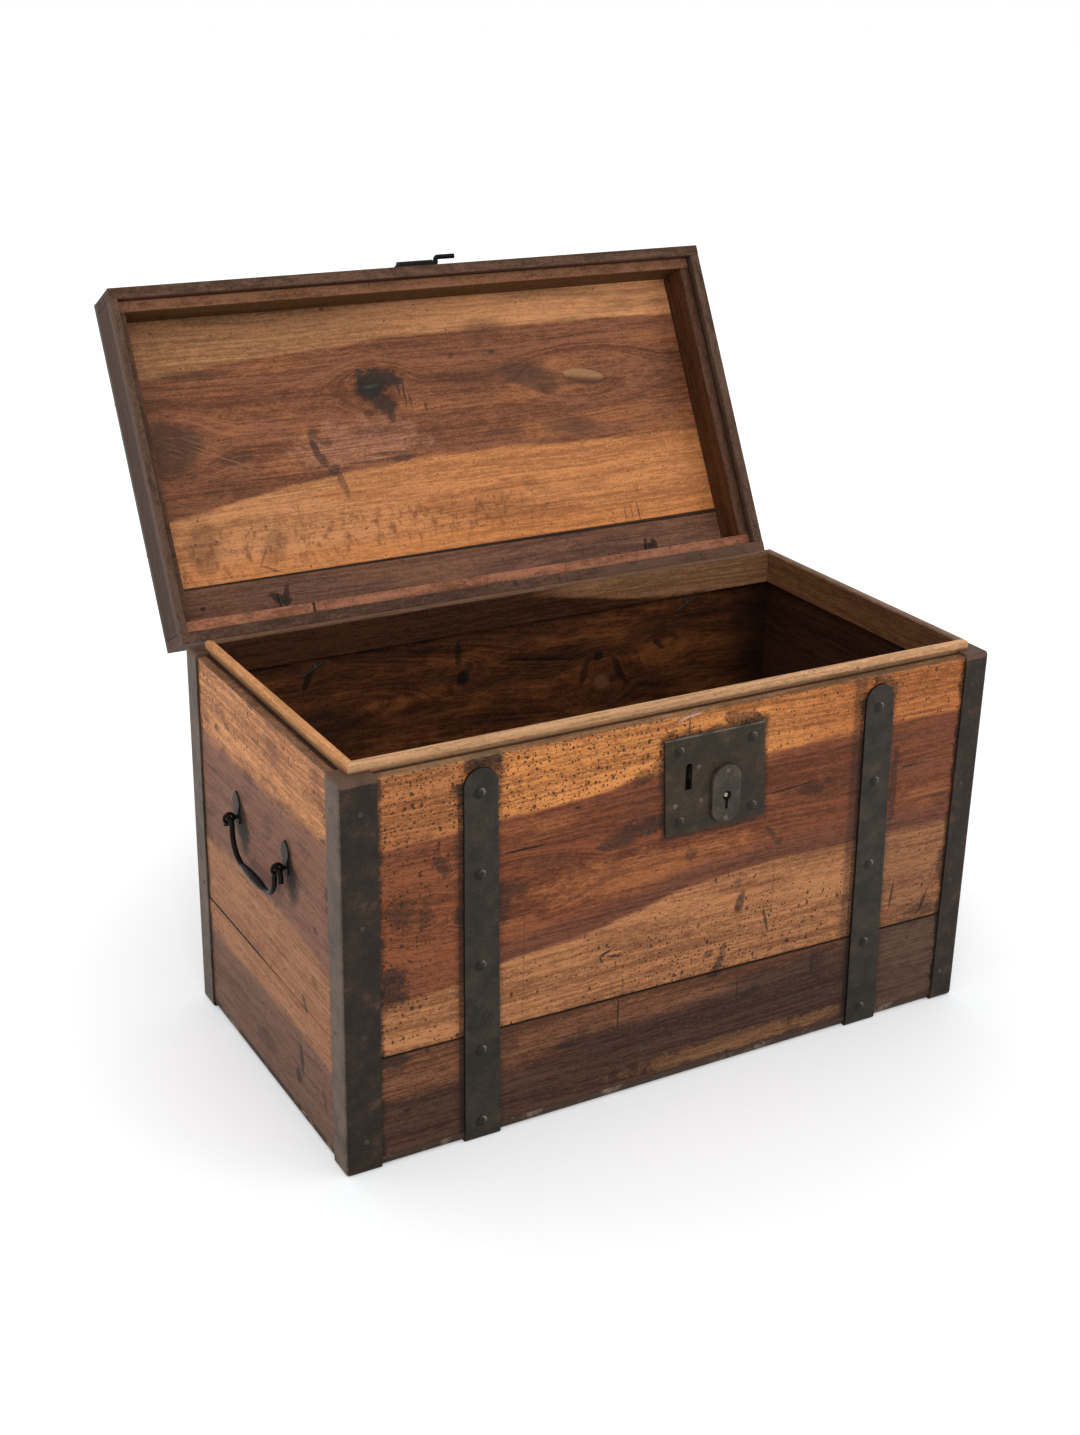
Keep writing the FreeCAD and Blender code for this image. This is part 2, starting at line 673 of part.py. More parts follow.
plate_spots = [
    plate_spot(plate_left + plate_nail_left, plate_top - plate_nail_drop),
    plate_spot(plate_right - plate_nail_right, plate_top - plate_nail_drop),
    plate_spot(plate_right - plate_nail_right, plate_low + plate_nail_drop),
    plate_spot(plate_left + plate_nail_left, plate_low + plate_nail_drop),
]
keeper_middle = bolt_tip + keeper_width / 2
keeper_bearing = bolt_high + bolt_fit
keeper_spot = (keeper_middle, keeper_bearing + keeper_metal + keeper_foot / 2)
side_spot = (side_rivet, plate_top - rivet_drop)
case_spot = (case_rivet, plate_top - rivet_drop)
cover_top = key_height + cover_above
cover_middle = cover_top - cover_height / 2
cover_spots = [
    (key_middle, cover_top - cover_rivet_inset),
    (key_middle, cover_top - cover_height + cover_rivet_inset),
]
hole = nail_shank + nail_fit


def below(spots, seam):
    return [spot for spot in spots if spot[1].number < as_size(seam).number]


def above(spots, seam):
    return [spot for spot in spots if spot[1].number > as_size(seam).number]


# --- the wooden box ------------------------------------------------------------------------

def front_boards():
    """Two boards that meet on a joint a little out of level."""
    low = new_body("front_lower_board")
    pad(low, "front_lower_shape", "XZ_Plane", -half_depth, -inner_depth, lambda sketch: polygon(sketch, [
        (-half_width, bottom_board), (half_width, bottom_board),
        (half_width, front_seam_right - seam_gap / 2), (-half_width, front_seam_left - seam_gap / 2)]))
    high = new_body("front_upper_board")
    pad(high, "front_upper_shape", "XZ_Plane", -half_depth, -inner_depth, lambda sketch: polygon(sketch, [
        (-half_width, front_seam_left + seam_gap / 2), (half_width, front_seam_right + seam_gap / 2),
        (half_width, body_height), (-half_width, body_height)]))
    cut(high, "lock_mortise", "XZ_Plane", -half_depth, -inner_depth, lambda sketch: rectangle(
        sketch, case_left - case_fit, case_right + case_fit, case_bottom - case_fit, case_top + case_fit))
    seam = (front_seam_left + front_seam_right) / 2
    strap_nails = left_strap_spots + right_strap_spots
    for board, spots in ((low, below(strap_nails + front_iron_spots, seam)),
                         (high, above(strap_nails + front_iron_spots, seam) + plate_spots)):
        drill(board, board.Label + "_holes", "XZ_Plane", -half_depth, -inner_depth, spots, hole)
    drill(high, "lock_rivet_holes", "XZ_Plane", -half_depth, -inner_depth,
          [side_spot, cover_spots[1]], hole)
    return [low, high]


def hinge_hole(board, side_name, across):
    """The slanting hole of a hinge eye through the top of the back."""
    slot = rod(f"chest_hinge_hole_{side_name}", shank_radius + nail_fit, wall * 4, ALONG_X,
               90 + chest_shank_slope, (across, hinge_y, hinge_z))
    opened = doc.addObject("Part::Cut", f"{board.Label}_{side_name}")
    opened.Base = board
    opened.Tool = slot
    return opened


def back_boards():
    low = block("back_lower_board", (-half_width, half_width), (inner_depth, half_depth),
                (bottom_board, back_seam - seam_gap / 2))
    drill(low, "back_lower_holes", "XZ_Plane", inner_depth, half_depth,
          below(front_iron_spots, back_seam), hole)
    high = block("back_board_blank", (-half_width, half_width), (inner_depth, half_depth),
                 (back_seam + seam_gap / 2, body_height))
    drill(high, "back_upper_holes", "XZ_Plane", inner_depth, half_depth,
          above(front_iron_spots, back_seam), hole)
    pierced = hinge_hole(hinge_hole(high, "left", hinge_left), "right", hinge_right)
    pierced.Label = "back_upper_board"
    return [low, pierced]


def end_boards(name, side):
    """The end's boards fit between the front and the back."""
    low_x = half_width * side if side < 0 else inner_width
    high_x = -inner_width if side < 0 else half_width
    boards = []
    for level, z_range, pick in (
            ("lower", (bottom_board, end_seam - seam_gap / 2), below),
            ("upper", (end_seam + seam_gap / 2, body_height), above)):
        board = block(f"{name}_{level}_board", (low_x, high_x), (-inner_depth, inner_depth), z_range)
        drill(board, f"{name}_{level}_holes", "YZ_Plane", low_x, high_x,
              pick(end_iron_spots, end_seam), hole)
        if level == "upper":
            drill(board, f"{name}_handle_holes", "YZ_Plane", low_x, high_x,
                  handle_spots, shank_radius + nail_fit)
        boards.append(board)
    return boards


handle_spots = [(handle_middle - handle_spread / 2, handle_height),
                (handle_middle + handle_spread / 2, handle_height)]


def bottom_boards():
    """Planted under the walls, and let in for the feet of the irons so that it sits flat."""
    boards = []
    for name, y_range, side in (
            ("bottom_front_board", (-half_depth, bottom_seam - seam_gap / 2), -1),
            ("bottom_back_board", (bottom_seam + seam_gap / 2, half_depth), 1)):
        board = block(name, (-half_width, half_width), y_range, (as_size(0), bottom_board))
        round_edges(board, name + "_round", bottom_round, lambda middle: near(middle.z, 0)
                    and (near(middle.y, half_depth * side) or near(abs(middle.x), half_width)))
        foot_reach = half_depth + iron - iron_end_leg
        for end in (-1, 1):
            near_x = (half_width + iron - iron_front_leg) * end
            cut(board, f"{name}_foot_{end + 1}", "XY_Plane", as_size(0), iron, lambda sketch: rectangle(
                sketch, near_x, (half_width + iron) * end, foot_reach * side, (half_depth + iron) * side))
        boards.append(board)
    front = boards[0]
    for name, middle in (("left", left_strap_foot), ("right", right_strap_foot)):
        cut(front, f"{name}_strap_bed", "XY_Plane", as_size(0), strap_metal, lambda sketch: rectangle(
            sketch, middle - strap_foot_width / 2, middle + strap_foot_width / 2,
            -half_depth - strap_metal, strap_under - half_depth))
    return boards


def lip_strip(label, long_way, side):
    """One side of the rounded lip that lines the top of the box, mitred at both ends."""
    body = new_body(label)
    outer = inner_depth if long_way == "x" else inner_width
    reach = inner_width if long_way == "x" else inner_depth
    inner = outer - lip_thickness
    low, high = (inner, outer) if side > 0 else (-outer, -inner)

    def section(sketch):
        rectangle(sketch, low, high, lip_foot, lip_top)

    plane = "YZ_Plane" if long_way == "x" else "XZ_Plane"
    pad(body, label + "_bar", plane, -reach, reach, section)
    axis = "y" if long_way == "x" else "x"
    round_edges(body, label + "_round", lip_round, lambda middle: near(middle.z, lip_top)
                and abs(getattr(middle, "x" if long_way == "x" else "y")) < reach.number - 1
                and (near(getattr(middle, axis), low) or near(getattr(middle, axis), high)))
    for end in (-1, 1):
        tip, heel = outer * side, inner * side
        wedge = [(reach * end, tip), (reach * end, heel), ((reach - lip_thickness) * end, heel)]
        if long_way == "y":
            wedge = [(across, along) for along, across in wedge]
        cut(body, f"{label}_mitre_{end + 1}", "XY_Plane", lip_foot, lip_top,
            lambda sketch: polygon(sketch, wedge))
    return body


# --- irons and nails --------------------------------------------------------------------------

def corner_iron(label, side_x, side_y, leg):
    """An angle iron over a corner, folded over the ledge above and under the bottom below."""
    body = new_body(label)
    wood_x, wood_y = half_width * side_x, half_depth * side_y
    out_x, out_y = (half_width + iron) * side_x, (half_depth + iron) * side_y
    leg_x = (half_width + iron - leg) * side_x
    leg_y = (half_depth + iron - iron_end_leg) * side_y
    ledge_x, ledge_y = inner_width * side_x, inner_depth * side_y
    pad(body, label + "_legs", "XY_Plane", as_size(0), body_height + iron, lambda sketch: polygon(sketch, [
        (out_x, out_y), (leg_x, out_y), (leg_x, wood_y), (wood_x, wood_y), (wood_x, leg_y), (out_x, leg_y)]))
    pad(body, label + "_fold", "XY_Plane", body_height, body_height + iron, lambda sketch: polygon(sketch, [
        (out_x, out_y), (leg_x, out_y), (leg_x, ledge_y),
        (ledge_x, ledge_y), (ledge_x, leg_y), (out_x, leg_y)]))
    pad(body, label + "_foot", "XY_Plane", as_size(0), iron, lambda sketch: rectangle(
        sketch, leg_x, out_x, leg_y, out_y))
    round_edges(body, label + "_bend", iron_bend, lambda middle: (
        near(middle.x, out_x) + near(middle.y, out_y)
        + near(middle.z, 0) + near(middle.z, body_height + iron) == 2))
    high, low = (as_size(0), -half_depth - iron) if side_y < 0 else (half_depth + iron, as_size(0))
    drill(body, label + "_front_holes", "XZ_Plane", low, high, iron_spots(side_x), hole)
    right, left = (as_size(0), -half_width - iron) if side_x < 0 else (half_width + iron, as_size(0))
    drill(body, label + "_end_holes", "YZ_Plane", left, right, iron_end_spots(side_y), hole)
    return body


def strap(label, head_middle, foot_middle, spots):
    """A tapering strap with a round head, turned under the bottom at its foot."""
    body = new_body(label)
    half_head, half_foot = strap_head_width / 2, strap_foot_width / 2
    shoulder = strap_top - half_head
    face = -half_depth - strap_metal
    upright = bottom_board
    pad(body, label + "_face", "XZ_Plane", face, -half_depth, lambda sketch: capped(sketch, [
        (head_middle - half_head, shoulder), (foot_middle - half_foot, upright),
        (foot_middle - half_foot, as_size(0)), (foot_middle + half_foot, as_size(0)),
        (foot_middle + half_foot, upright), (head_middle + half_head, shoulder)], shoulder))
    pad(body, label + "_foot", "XY_Plane", as_size(0), strap_metal, lambda sketch: rectangle(
        sketch, foot_middle - half_foot, foot_middle + half_foot, face, strap_under - half_depth))
    round_edges(body, label + "_bend", strap_bend,
                lambda middle: near(middle.z, 0) and near(middle.y, face))
    drill(body, label + "_holes", "XZ_Plane", face, -half_depth, spots, hole)
    return body


def nails():
    """The nails that hold the straps and the corner irons."""
    straps = new_body("strap_nails")
    studs(straps, "strap_nail", "XZ_Plane", left_strap_spots + right_strap_spots,
          -half_depth - strap_metal, -1, nail_head, nail_rise, nail_length + strap_metal)
    corners = new_body("corner_nails")
    for name, plane, spots, surface, outward in (
            ("front", "XZ_Plane", front_iron_spots, -half_depth - iron, -1),
            ("back", "XZ_Plane", front_iron_spots, half_depth + iron, 1),
            ("left", "YZ_Plane", end_iron_spots, -half_width - iron, -1),
            ("right", "YZ_Plane", end_iron_spots, half_width + iron, 1)):
        studs(corners, f"{name}_corner_nail", plane, spots, surface, outward,
              small_head, small_rise, nail_length + iron)
    plate = new_body("plate_nails")
    studs(plate, "plate_nail", "XZ_Plane", plate_spots, -plate_face, -1,
          nail_head, nail_rise, nail_length + iron)
    return [straps, corners, plate]


# --- lock ---------------------------------------------------------------------------------------

def keyhole(body, name, low, high):
    cut(body, name + "_round", "XZ_Plane", low, high, lambda sketch: circle(
        sketch, (key_middle, key_height), key_round))
    cut(body, name + "_slit", "XZ_Plane", low, high, lambda sketch: rectangle(
        sketch, key_middle - key_slit / 2, key_middle + key_slit / 2, key_height - key_reach, key_height))


def lock_plate():
    """The outside plate: a slot for the hasp's staple at the left, the keyhole at the right."""
    body = new_body("lock_plate")
    lean = plate_lean / 2
    pad(body, "plate_sheet", "XZ_Plane", -plate_face, -half_depth, lambda sketch: polygon(sketch, [
        (plate_left + lean, plate_low), (plate_right + lean, plate_low),
        (plate_right - lean, plate_top), (plate_left - lean, plate_top)]))
    half_slot = slot_width / 2
    cut(body, "hasp_slot", "XZ_Plane", -plate_face, -half_depth, lambda sketch: capped(sketch, [
        (slot_middle - half_slot, slot_top - half_slot), (slot_middle - half_slot, slot_bottom),
        (slot_middle + half_slot, slot_bottom), (slot_middle + half_slot, slot_top - half_slot)],
        slot_top - half_slot))
    keyhole(body, "plate_keyhole", -plate_face, -half_depth)
    drill(body, "plate_holes", "XZ_Plane", -plate_face, -half_depth,
          plate_spots + [side_spot, case_spot, keeper_spot] + cover_spots, hole)
    return body


def keyhole_cover():
    """The raised oval round the keyhole, held by a rivet above and below."""
    body = new_body("keyhole_cover")
    outer = -plate_face - cover_metal
    pad(body, "cover_oval", "XZ_Plane", outer, -plate_face, lambda sketch: stadium(
        sketch, (key_middle, cover_middle), cover_width, cover_height))
    round_edges(body, "cover_rim", cover_round, lambda middle: near(middle.y, outer))
    keyhole(body, "cover_keyhole", outer, -plate_face)
    drill(body, "cover_holes", "XZ_Plane", outer, -plate_face, cover_spots, hole)
    return body


def lock_rivets():
    rivets = new_body("lock_rivets")
    for name, spot, length in (("side_rivet", side_spot, iron + nail_length),
                               ("case_rivet", case_spot, iron + case_depth),
                               ("keeper_rivet", keeper_spot, iron + keeper_metal)):
        studs(rivets, name, "XZ_Plane", [spot], -plate_face, -1, small_head, small_rise, length)
    cover = new_body("cover_rivets")
    studs(cover, "cover_rivet", "XZ_Plane", cover_spots, -plate_face - cover_metal, -1,
          small_head, small_rise, cover_metal + iron + nail_rise)
    return [rivets, cover]


def lock_case():
    """A sheet-iron box behind the plate, let through the front board."""
    body = block("lock_case", (case_left, case_right), (-half_depth, case_back), (case_bottom, case_top))
    cut(body, "case_hollow", "XZ_Plane", -half_depth, case_back - case_sheet, lambda sketch: rectangle(
        sketch, case_left + case_sheet, case_right - case_sheet,
        case_bottom + case_sheet, case_top - case_sheet))
    drill(body, "case_pin_hole", "XZ_Plane", case_back - case_sheet, case_back,
          [(key_middle, key_height)], key_pin_radius)
    drill(body, "case_rivet_hole", "XZ_Plane", case_back - case_sheet, case_back, [case_spot], hole)
    return body


def lock_works():
    """Bolt, keeper, leaf spring and the pin that a pipe key slides over."""
    bolt = new_body("lock_bolt")
    bolt_rear = bolt_front + bolt_metal
    deep_from = bolt_tail - talon_length
    pad(bolt, "bolt_bar", "XZ_Plane", bolt_front, bolt_rear, lambda sketch: polygon(sketch, [
        (bolt_tip, bolt_low), (deep_from, bolt_low), (deep_from, bolt_low - talon_drop),
        (bolt_tail, bolt_low - talon_drop), (bolt_tail, bolt_high), (bolt_tip, bolt_high)]))
    notch_middle = deep_from + talon_length / 2
    cut(bolt, "key_notch", "XZ_Plane", bolt_front, bolt_rear, lambda sketch: rectangle(
        sketch, notch_middle - talon_notch / 2, notch_middle + talon_notch / 2,
        bolt_low - talon_drop, bolt_low - talon_drop / 3))

    keeper = new_body("bolt_keeper")
    inside_low, inside_high = bolt_low - bolt_fit, keeper_bearing
    inside_back = bolt_rear + bolt_fit
    foot_front, foot_back = -half_depth, keeper_metal - half_depth
    pad(keeper, "keeper_arch", "YZ_Plane", keeper_middle - keeper_width / 2, keeper_middle + keeper_width / 2,
        lambda sketch: polygon(sketch, [
            (foot_front, inside_low - keeper_metal),
            (inside_back + keeper_metal, inside_low - keeper_metal),
            (inside_back + keeper_metal, inside_high + keeper_metal),
            (foot_back, inside_high + keeper_metal),
            (foot_back, inside_high + keeper_metal + keeper_foot),
            (foot_front, inside_high + keeper_metal + keeper_foot),
            (foot_front, inside_high), (inside_back, inside_high),
            (inside_back, inside_low), (foot_front, inside_low)]))
    drill(keeper, "keeper_hole", "XZ_Plane", foot_front, foot_back, [keeper_spot], hole)

    spring = new_body("bolt_spring")
    ceiling = case_top - case_sheet
    press = keeper_bearing
    span = talon_length / 2
    pad(spring, "spring_leaf", "XZ_Plane", bolt_front, bolt_rear, lambda sketch: polygon(sketch, [
        (deep_from - span, press), (deep_from, press), (bolt_tail, ceiling - spring_metal),
        (bolt_tail, ceiling), (bolt_tail - spring_metal, ceiling),
        (deep_from - spring_metal / 2, press + spring_metal), (deep_from - span, press + spring_metal)]))

    pin = new_body("key_pin")
    pad(pin, "key_pin_bar", "XZ_Plane", -plate_face - cover_metal / 2, case_back, lambda sketch: circle(
        sketch, (key_middle, key_height), key_pin_radius))
    return [bolt, keeper, spring, pin]


# --- linked-eye hinges ----------------------------------------------------------------------------

def chest_eye(side_name, across):
    """Eye and slanting shank of the box's half, its two ends bent over on the inside."""
    name = f"chest_eye_{side_name}"
    turn = 90 + chest_shank_slope
    slope_cos, slope_sin = cosine(chest_shank_slope), sine(chest_shank_slope)
    exit_y = inner_depth - clench_wire
    run = (hinge_y - exit_y) / slope_cos
    exit_z = hinge_z - run * slope_sin
    eye = loop(name + "_ring", eye_ring, eye_wire, ALONG_Y, as_size(90), (across, hinge_y, hinge_z))
    shank = rod(name + "_shank", shank_radius, run - eye_ring, ALONG_X, turn,
                (across, hinge_y - eye_ring * slope_cos, hinge_z - eye_ring * slope_sin))
    ends = [rod(f"{name}_end_{number}", clench_wire, clench_length, ALONG_Y, as_size(turn),
                (across, exit_y, exit_z)) for number, turn in enumerate((62, -118))]
    return joined(name, [eye, shank] + ends)


def lid_eye(side_name, across):
    """Eye of the lid's half: it passes through the box's eye and turns on it like a link."""
    name = f"lid_eye_{side_name}"
    slope_cos, slope_sin = cosine(lid_shank_slope), sine(lid_shank_slope)
    exit_y = lid_back - skirt - lid_strip - clench_wire
    run = -exit_y / slope_cos
    exit_z = run * slope_sin
    eye = loop(name + "_ring", eye_ring, eye_wire, ALONG_X, lid_shank_slope * -1,
               (across, -eye_ring * slope_cos, eye_ring * slope_sin))
    shank = rod(name + "_shank", shank_radius, run - eye_ring * 2, ALONG_X, 90 - lid_shank_slope,
                (across, -eye_ring * 2 * slope_cos, eye_ring * 2 * slope_sin))
    bend = skirt_top - exit_z - clench_wire
    rise = rod(name + "_rise", clench_wire, bend, ALONG_X, as_size(0), (across, exit_y, exit_z))
    corner = skirt_top - clench_wire
    ends = [rod(f"{name}_end_{number}", clench_wire, clench_length, FreeCAD.Vector(1, slant, 0), as_size(90),
                (across, exit_y, corner)) for number, slant in enumerate((0, 1))]
    return joined(name, [eye, shank, rise] + ends)


def lid_eye_hole(board, name, across):
    """The slanting hole of the lid's hinge eye."""
    bore = rod(f"{name}_hole", shank_radius + nail_fit, lid_thickness, ALONG_X, 90 - lid_shank_slope,
               (across, as_size(0), as_size(0)))
    opened = doc.addObject("Part::Cut", f"{name}_pierced")
    opened.Base = board
    opened.Tool = bore
    return opened


def pierced_for_hinges(board, label):
    opened = lid_eye_hole(lid_eye_hole(board, label + "_left", hinge_left), label + "_right", hinge_right)
    opened.Label = label
    return opened


# --- lid --------------------------------------------------------------------------------------------

def lid_boards():
    """Two top boards with a rounded outer edge; their joint runs along the back."""
    seam = lid_seam - hinge_y
    boards = []
    for label, low, high, edge in (
            ("lid_wide_board", lid_front, seam - seam_gap / 2, lid_front),
            ("lid_narrow_board", seam + seam_gap / 2, lid_back, lid_back)):
        board = block(label, (-half_width, half_width), (low, high), (skirt_top, lid_top))
        round_edges(board, label + "_round", lid_round, lambda middle, edge=edge: near(middle.z, lid_top)
                    and (near(middle.y, edge) or near(abs(middle.x), half_width)))
        drill(board, label + "_holes", "XY_Plane", skirt_top, lid_top, [
            spot for spot in lid_nail_spots if low.number < spot[1].number < high.number], hole)
        boards.append(board)
    return boards


def lid_nail_places():
    """Nails through the top boards into the skirt, along all four sides."""
    spots = []
    middle_y = (lid_front + lid_back) / 2
    pitch = (half_width - lid_nail_end) / 2
    for side in (-1, 1):
        for step in range(5):
            spots.append((pitch * (step - 2), middle_y + (half_depth - skirt / 2) * side))
        for end in (-1, 1):
            board = thin_skirt if side < 0 else skirt
            spots.append(((half_width - board / 2) * side, middle_y + (half_depth - lid_nail_side) * end))
    return spots


lid_nail_spots = lid_nail_places()


def lid_frame():
    """The skirt, and inside it the strips that stop above the lip."""
    in_left, in_right = thin_skirt - half_width, half_width - skirt
    in_front, in_back = lid_front + skirt, lid_back - skirt
    deep_left, deep_right = in_left + thin_strip, in_right - lid_strip
    deep_front, deep_back = in_front + lid_strip, in_back - lid_strip
    full_x, skirt_z, strip_z = (-half_width, half_width), (rim, skirt_top), (strip_low, skirt_top)
    front = block("lid_front_skirt", full_x, (lid_front, in_front), skirt_z)
    back = block("lid_back_skirt_blank", full_x, (in_back, lid_back), skirt_z)
    left = block("lid_left_skirt", (-half_width, in_left), (in_front, in_back), skirt_z)
    right = block("lid_right_skirt", (in_right, half_width), (in_front, in_back), skirt_z)
    for board in (front, back, left, right):
        doc.recompute()
        box = board.Shape.BoundBox
        spots = [spot for spot in lid_nail_spots if box.XMin < spot[0].number < box.XMax
                 and box.YMin < spot[1].number < box.YMax]
        drill(board, board.Label + "_holes", "XY_Plane", skirt_top - nail_length, skirt_top, spots, hole)
    drill(front, "hinge_plate_nail_holes", "XZ_Plane", lid_front, in_front, hinge_plate_spots, hole)
    strips = [
        block("lid_front_strip", (in_left, in_right), (in_front, deep_front), strip_z),
        block("lid_left_strip", (in_left, deep_left), (deep_front, deep_back), strip_z),
        block("lid_right_strip", (deep_right, in_right), (deep_front, deep_back), strip_z),
    ]
    back_strip = block("lid_back_strip_blank", (in_left, in_right), (deep_back, in_back), strip_z)
    pierced = [pierced_for_hinges(back, "lid_back_skirt"), pierced_for_hinges(back_strip, "lid_back_strip")]
    return [front, left, right] + strips + pierced


def lid_nails():
    body = new_body("lid_nails")
    studs(body, "lid_nail", "XY_Plane", lid_nail_spots, lid_top, 1, small_head, small_rise,
          lid_board + nail_length)
    return body


# --- hasp ---------------------------------------------------------------------------------------------

barrel_half = hasp_knuckle / 2 + knuckle_gap + plate_knuckle
plate_hole_height = rim + (hinge_plate_low + hinge_plate_high) / 2
hinge_plate_spots = [(slot_middle - barrel_half / 2, plate_hole_height),
                     (slot_middle + barrel_half / 2, plate_hole_height)]


def hinge_plate():
    """The plate on the lid's skirt, with a knuckle at each end of its lower edge."""
    body = new_body("hasp_hinge_plate")
    face = lid_front - iron
    left, right = slot_middle - barrel_half, slot_middle + barrel_half
    inner_left, inner_right = left + plate_knuckle, right - plate_knuckle
    pad(body, "hinge_plate_leaf", "XZ_Plane", face, lid_front, lambda sketch: polygon(sketch, [
        (left, hasp_z), (inner_left, hasp_z), (inner_left, rim + hinge_plate_low),
        (inner_right, rim + hinge_plate_low), (inner_right, hasp_z), (right, hasp_z),
        (right, rim + hinge_plate_high), (left, rim + hinge_plate_high)]))
    for name, low, high in (("left", left, inner_left), ("right", inner_right, right)):
        pad(body, f"{name}_knuckle", "YZ_Plane", low, high, lambda sketch: circle(
            sketch, (hasp_y, hasp_z), barrel))
    cut(body, "knuckle_bore", "YZ_Plane", left, right, lambda sketch: circle(
        sketch, (hasp_y, hasp_z), pin_radius + pin_fit))
    drill(body, "hinge_plate_holes", "XZ_Plane", face, lid_front, hinge_plate_spots, hole)
    rivets = new_body("hinge_plate_nails")
    studs(rivets, "hinge_plate_nail", "XZ_Plane", hinge_plate_spots, face, -1,
          small_head, small_rise, iron + nail_length)
    return [body, rivets]


def hasp_pin():
    """The pin through the knuckles: pointed at the left, cranked into a finger at the right."""
    body = new_body("hasp_pin")
    left, right = slot_middle - barrel_half, slot_middle + barrel_half
    turn = right + crank_run
    profile = sketch_on(body, "pin_section", "YZ_Plane", left)
    circle(profile, (hasp_y, hasp_z), pin_radius)
    spine = sketch_on(body, "pin_route", "XY_Plane", hasp_z)
    route(spine, [(left, hasp_y), (turn, hasp_y), (turn, hasp_y - crank_rise),
                  (turn + crank_finger, hasp_y - crank_rise)], [crank_bend, crank_bend])
    bar = body.newObject("PartDesign::AdditivePipe", "pin_bar")
    bar.Profile = profile
    bar.Spine = (spine, [])
    point = pad(body, "pin_cone", "YZ_Plane", left - pin_point, left, lambda sketch: circle(
        sketch, (hasp_y, hasp_z), pin_tip))
    bind(point, "TaperAngle", slope_angle(pin_radius - pin_tip, pin_point))
    return body


def hasp():
    """The hasp's leaf, drawn hanging with its pin at the origin, and its staple."""
    leaf = new_body("hasp")
    half_neck = hasp_knuckle / 2
    half_metal = hasp_metal / 2
    shoulder = -barrel - knuckle_gap * 2
    half_wide, half_tip = hasp_width / 2, hasp_tip_width / 2
    end = -hasp_length
    pad(leaf, "hasp_leaf", "XZ_Plane", -half_metal, half_metal, lambda sketch: polygon(sketch, [
        (-half_neck, as_size(0)), (-half_neck, shoulder), (-half_wide, shoulder - half_neck / 2),
        (-half_tip, end + half_tip), (-half_tip / 2, end),
        (half_tip / 2, end), (half_tip, end + half_tip),
        (half_wide, shoulder - half_neck / 2), (half_neck, shoulder), (half_neck, as_size(0))]))
    pad(leaf, "hasp_barrel", "YZ_Plane", -half_neck, half_neck, lambda sketch: circle(
        sketch, (as_size(0), as_size(0)), barrel))
    pad(leaf, "thumb_roll", "YZ_Plane", -half_tip / 2, half_tip / 2, lambda sketch: circle(
        sketch, (-hasp_metal, end), hasp_metal))
    cut(leaf, "hasp_bore", "YZ_Plane", -half_neck, half_neck, lambda sketch: circle(
        sketch, (as_size(0), as_size(0)), pin_radius + pin_fit))
    middle = staple_middle - hasp_pin_height
    half_loop = staple_high / 2
    arms = []
    for name, low, high in (("lower", middle - half_loop, middle - half_loop + staple_bar),
                            ("upper", middle + half_loop - staple_bar, middle + half_loop)):
        cut(leaf, f"{name}_arm_hole", "XZ_Plane", -half_metal, half_metal, lambda sketch: rectangle(
            sketch, -staple_wide / 2 - nail_fit, staple_wide / 2 + nail_fit, low - nail_fit, high + nail_fit))
        arms.append((low, high))

    staple = new_body("hasp_staple")
    (low_out, low_in), (high_in, high_out) = arms
    far = half_metal + staple_out
    pad(staple, "staple_loop", "YZ_Plane", -staple_wide / 2, staple_wide / 2, lambda sketch: polygon(sketch, [
        (-half_metal, low_out), (far - staple_bar, low_out), (far, low_out + staple_bar),
        (far, high_out - staple_bar), (far - staple_bar, high_out),
        (-half_metal, high_out), (-half_metal, high_in),
        (far - staple_bar, high_in), (far - staple_bar, low_in), (-half_metal, low_in)]))
    return [leaf, staple]


# --- handles --------------------------------------------------------------------------------------------

def leaf_outline(depth, height):
    """A pointed leaf that stands on a small round foot, the eye's shank through its foot."""
    foot, neck, shoulder, brow = leaf_width * 0.35, leaf_width * 0.28, leaf_width / 2, leaf_width * 0.3
    right_side = [
        (foot, leaf_below * -0.6),
        (neck, leaf_above * 0.3),
        (shoulder, leaf_above * 0.55),
        (brow, leaf_above * 0.85),
    ]
    return (
        [(depth, height - leaf_below)]
        + [(depth + across, height + up) for across, up in right_side]
        + [(depth, height + leaf_above)]
        + [(depth - across, height + up) for across, up in reversed(right_side)]
    )


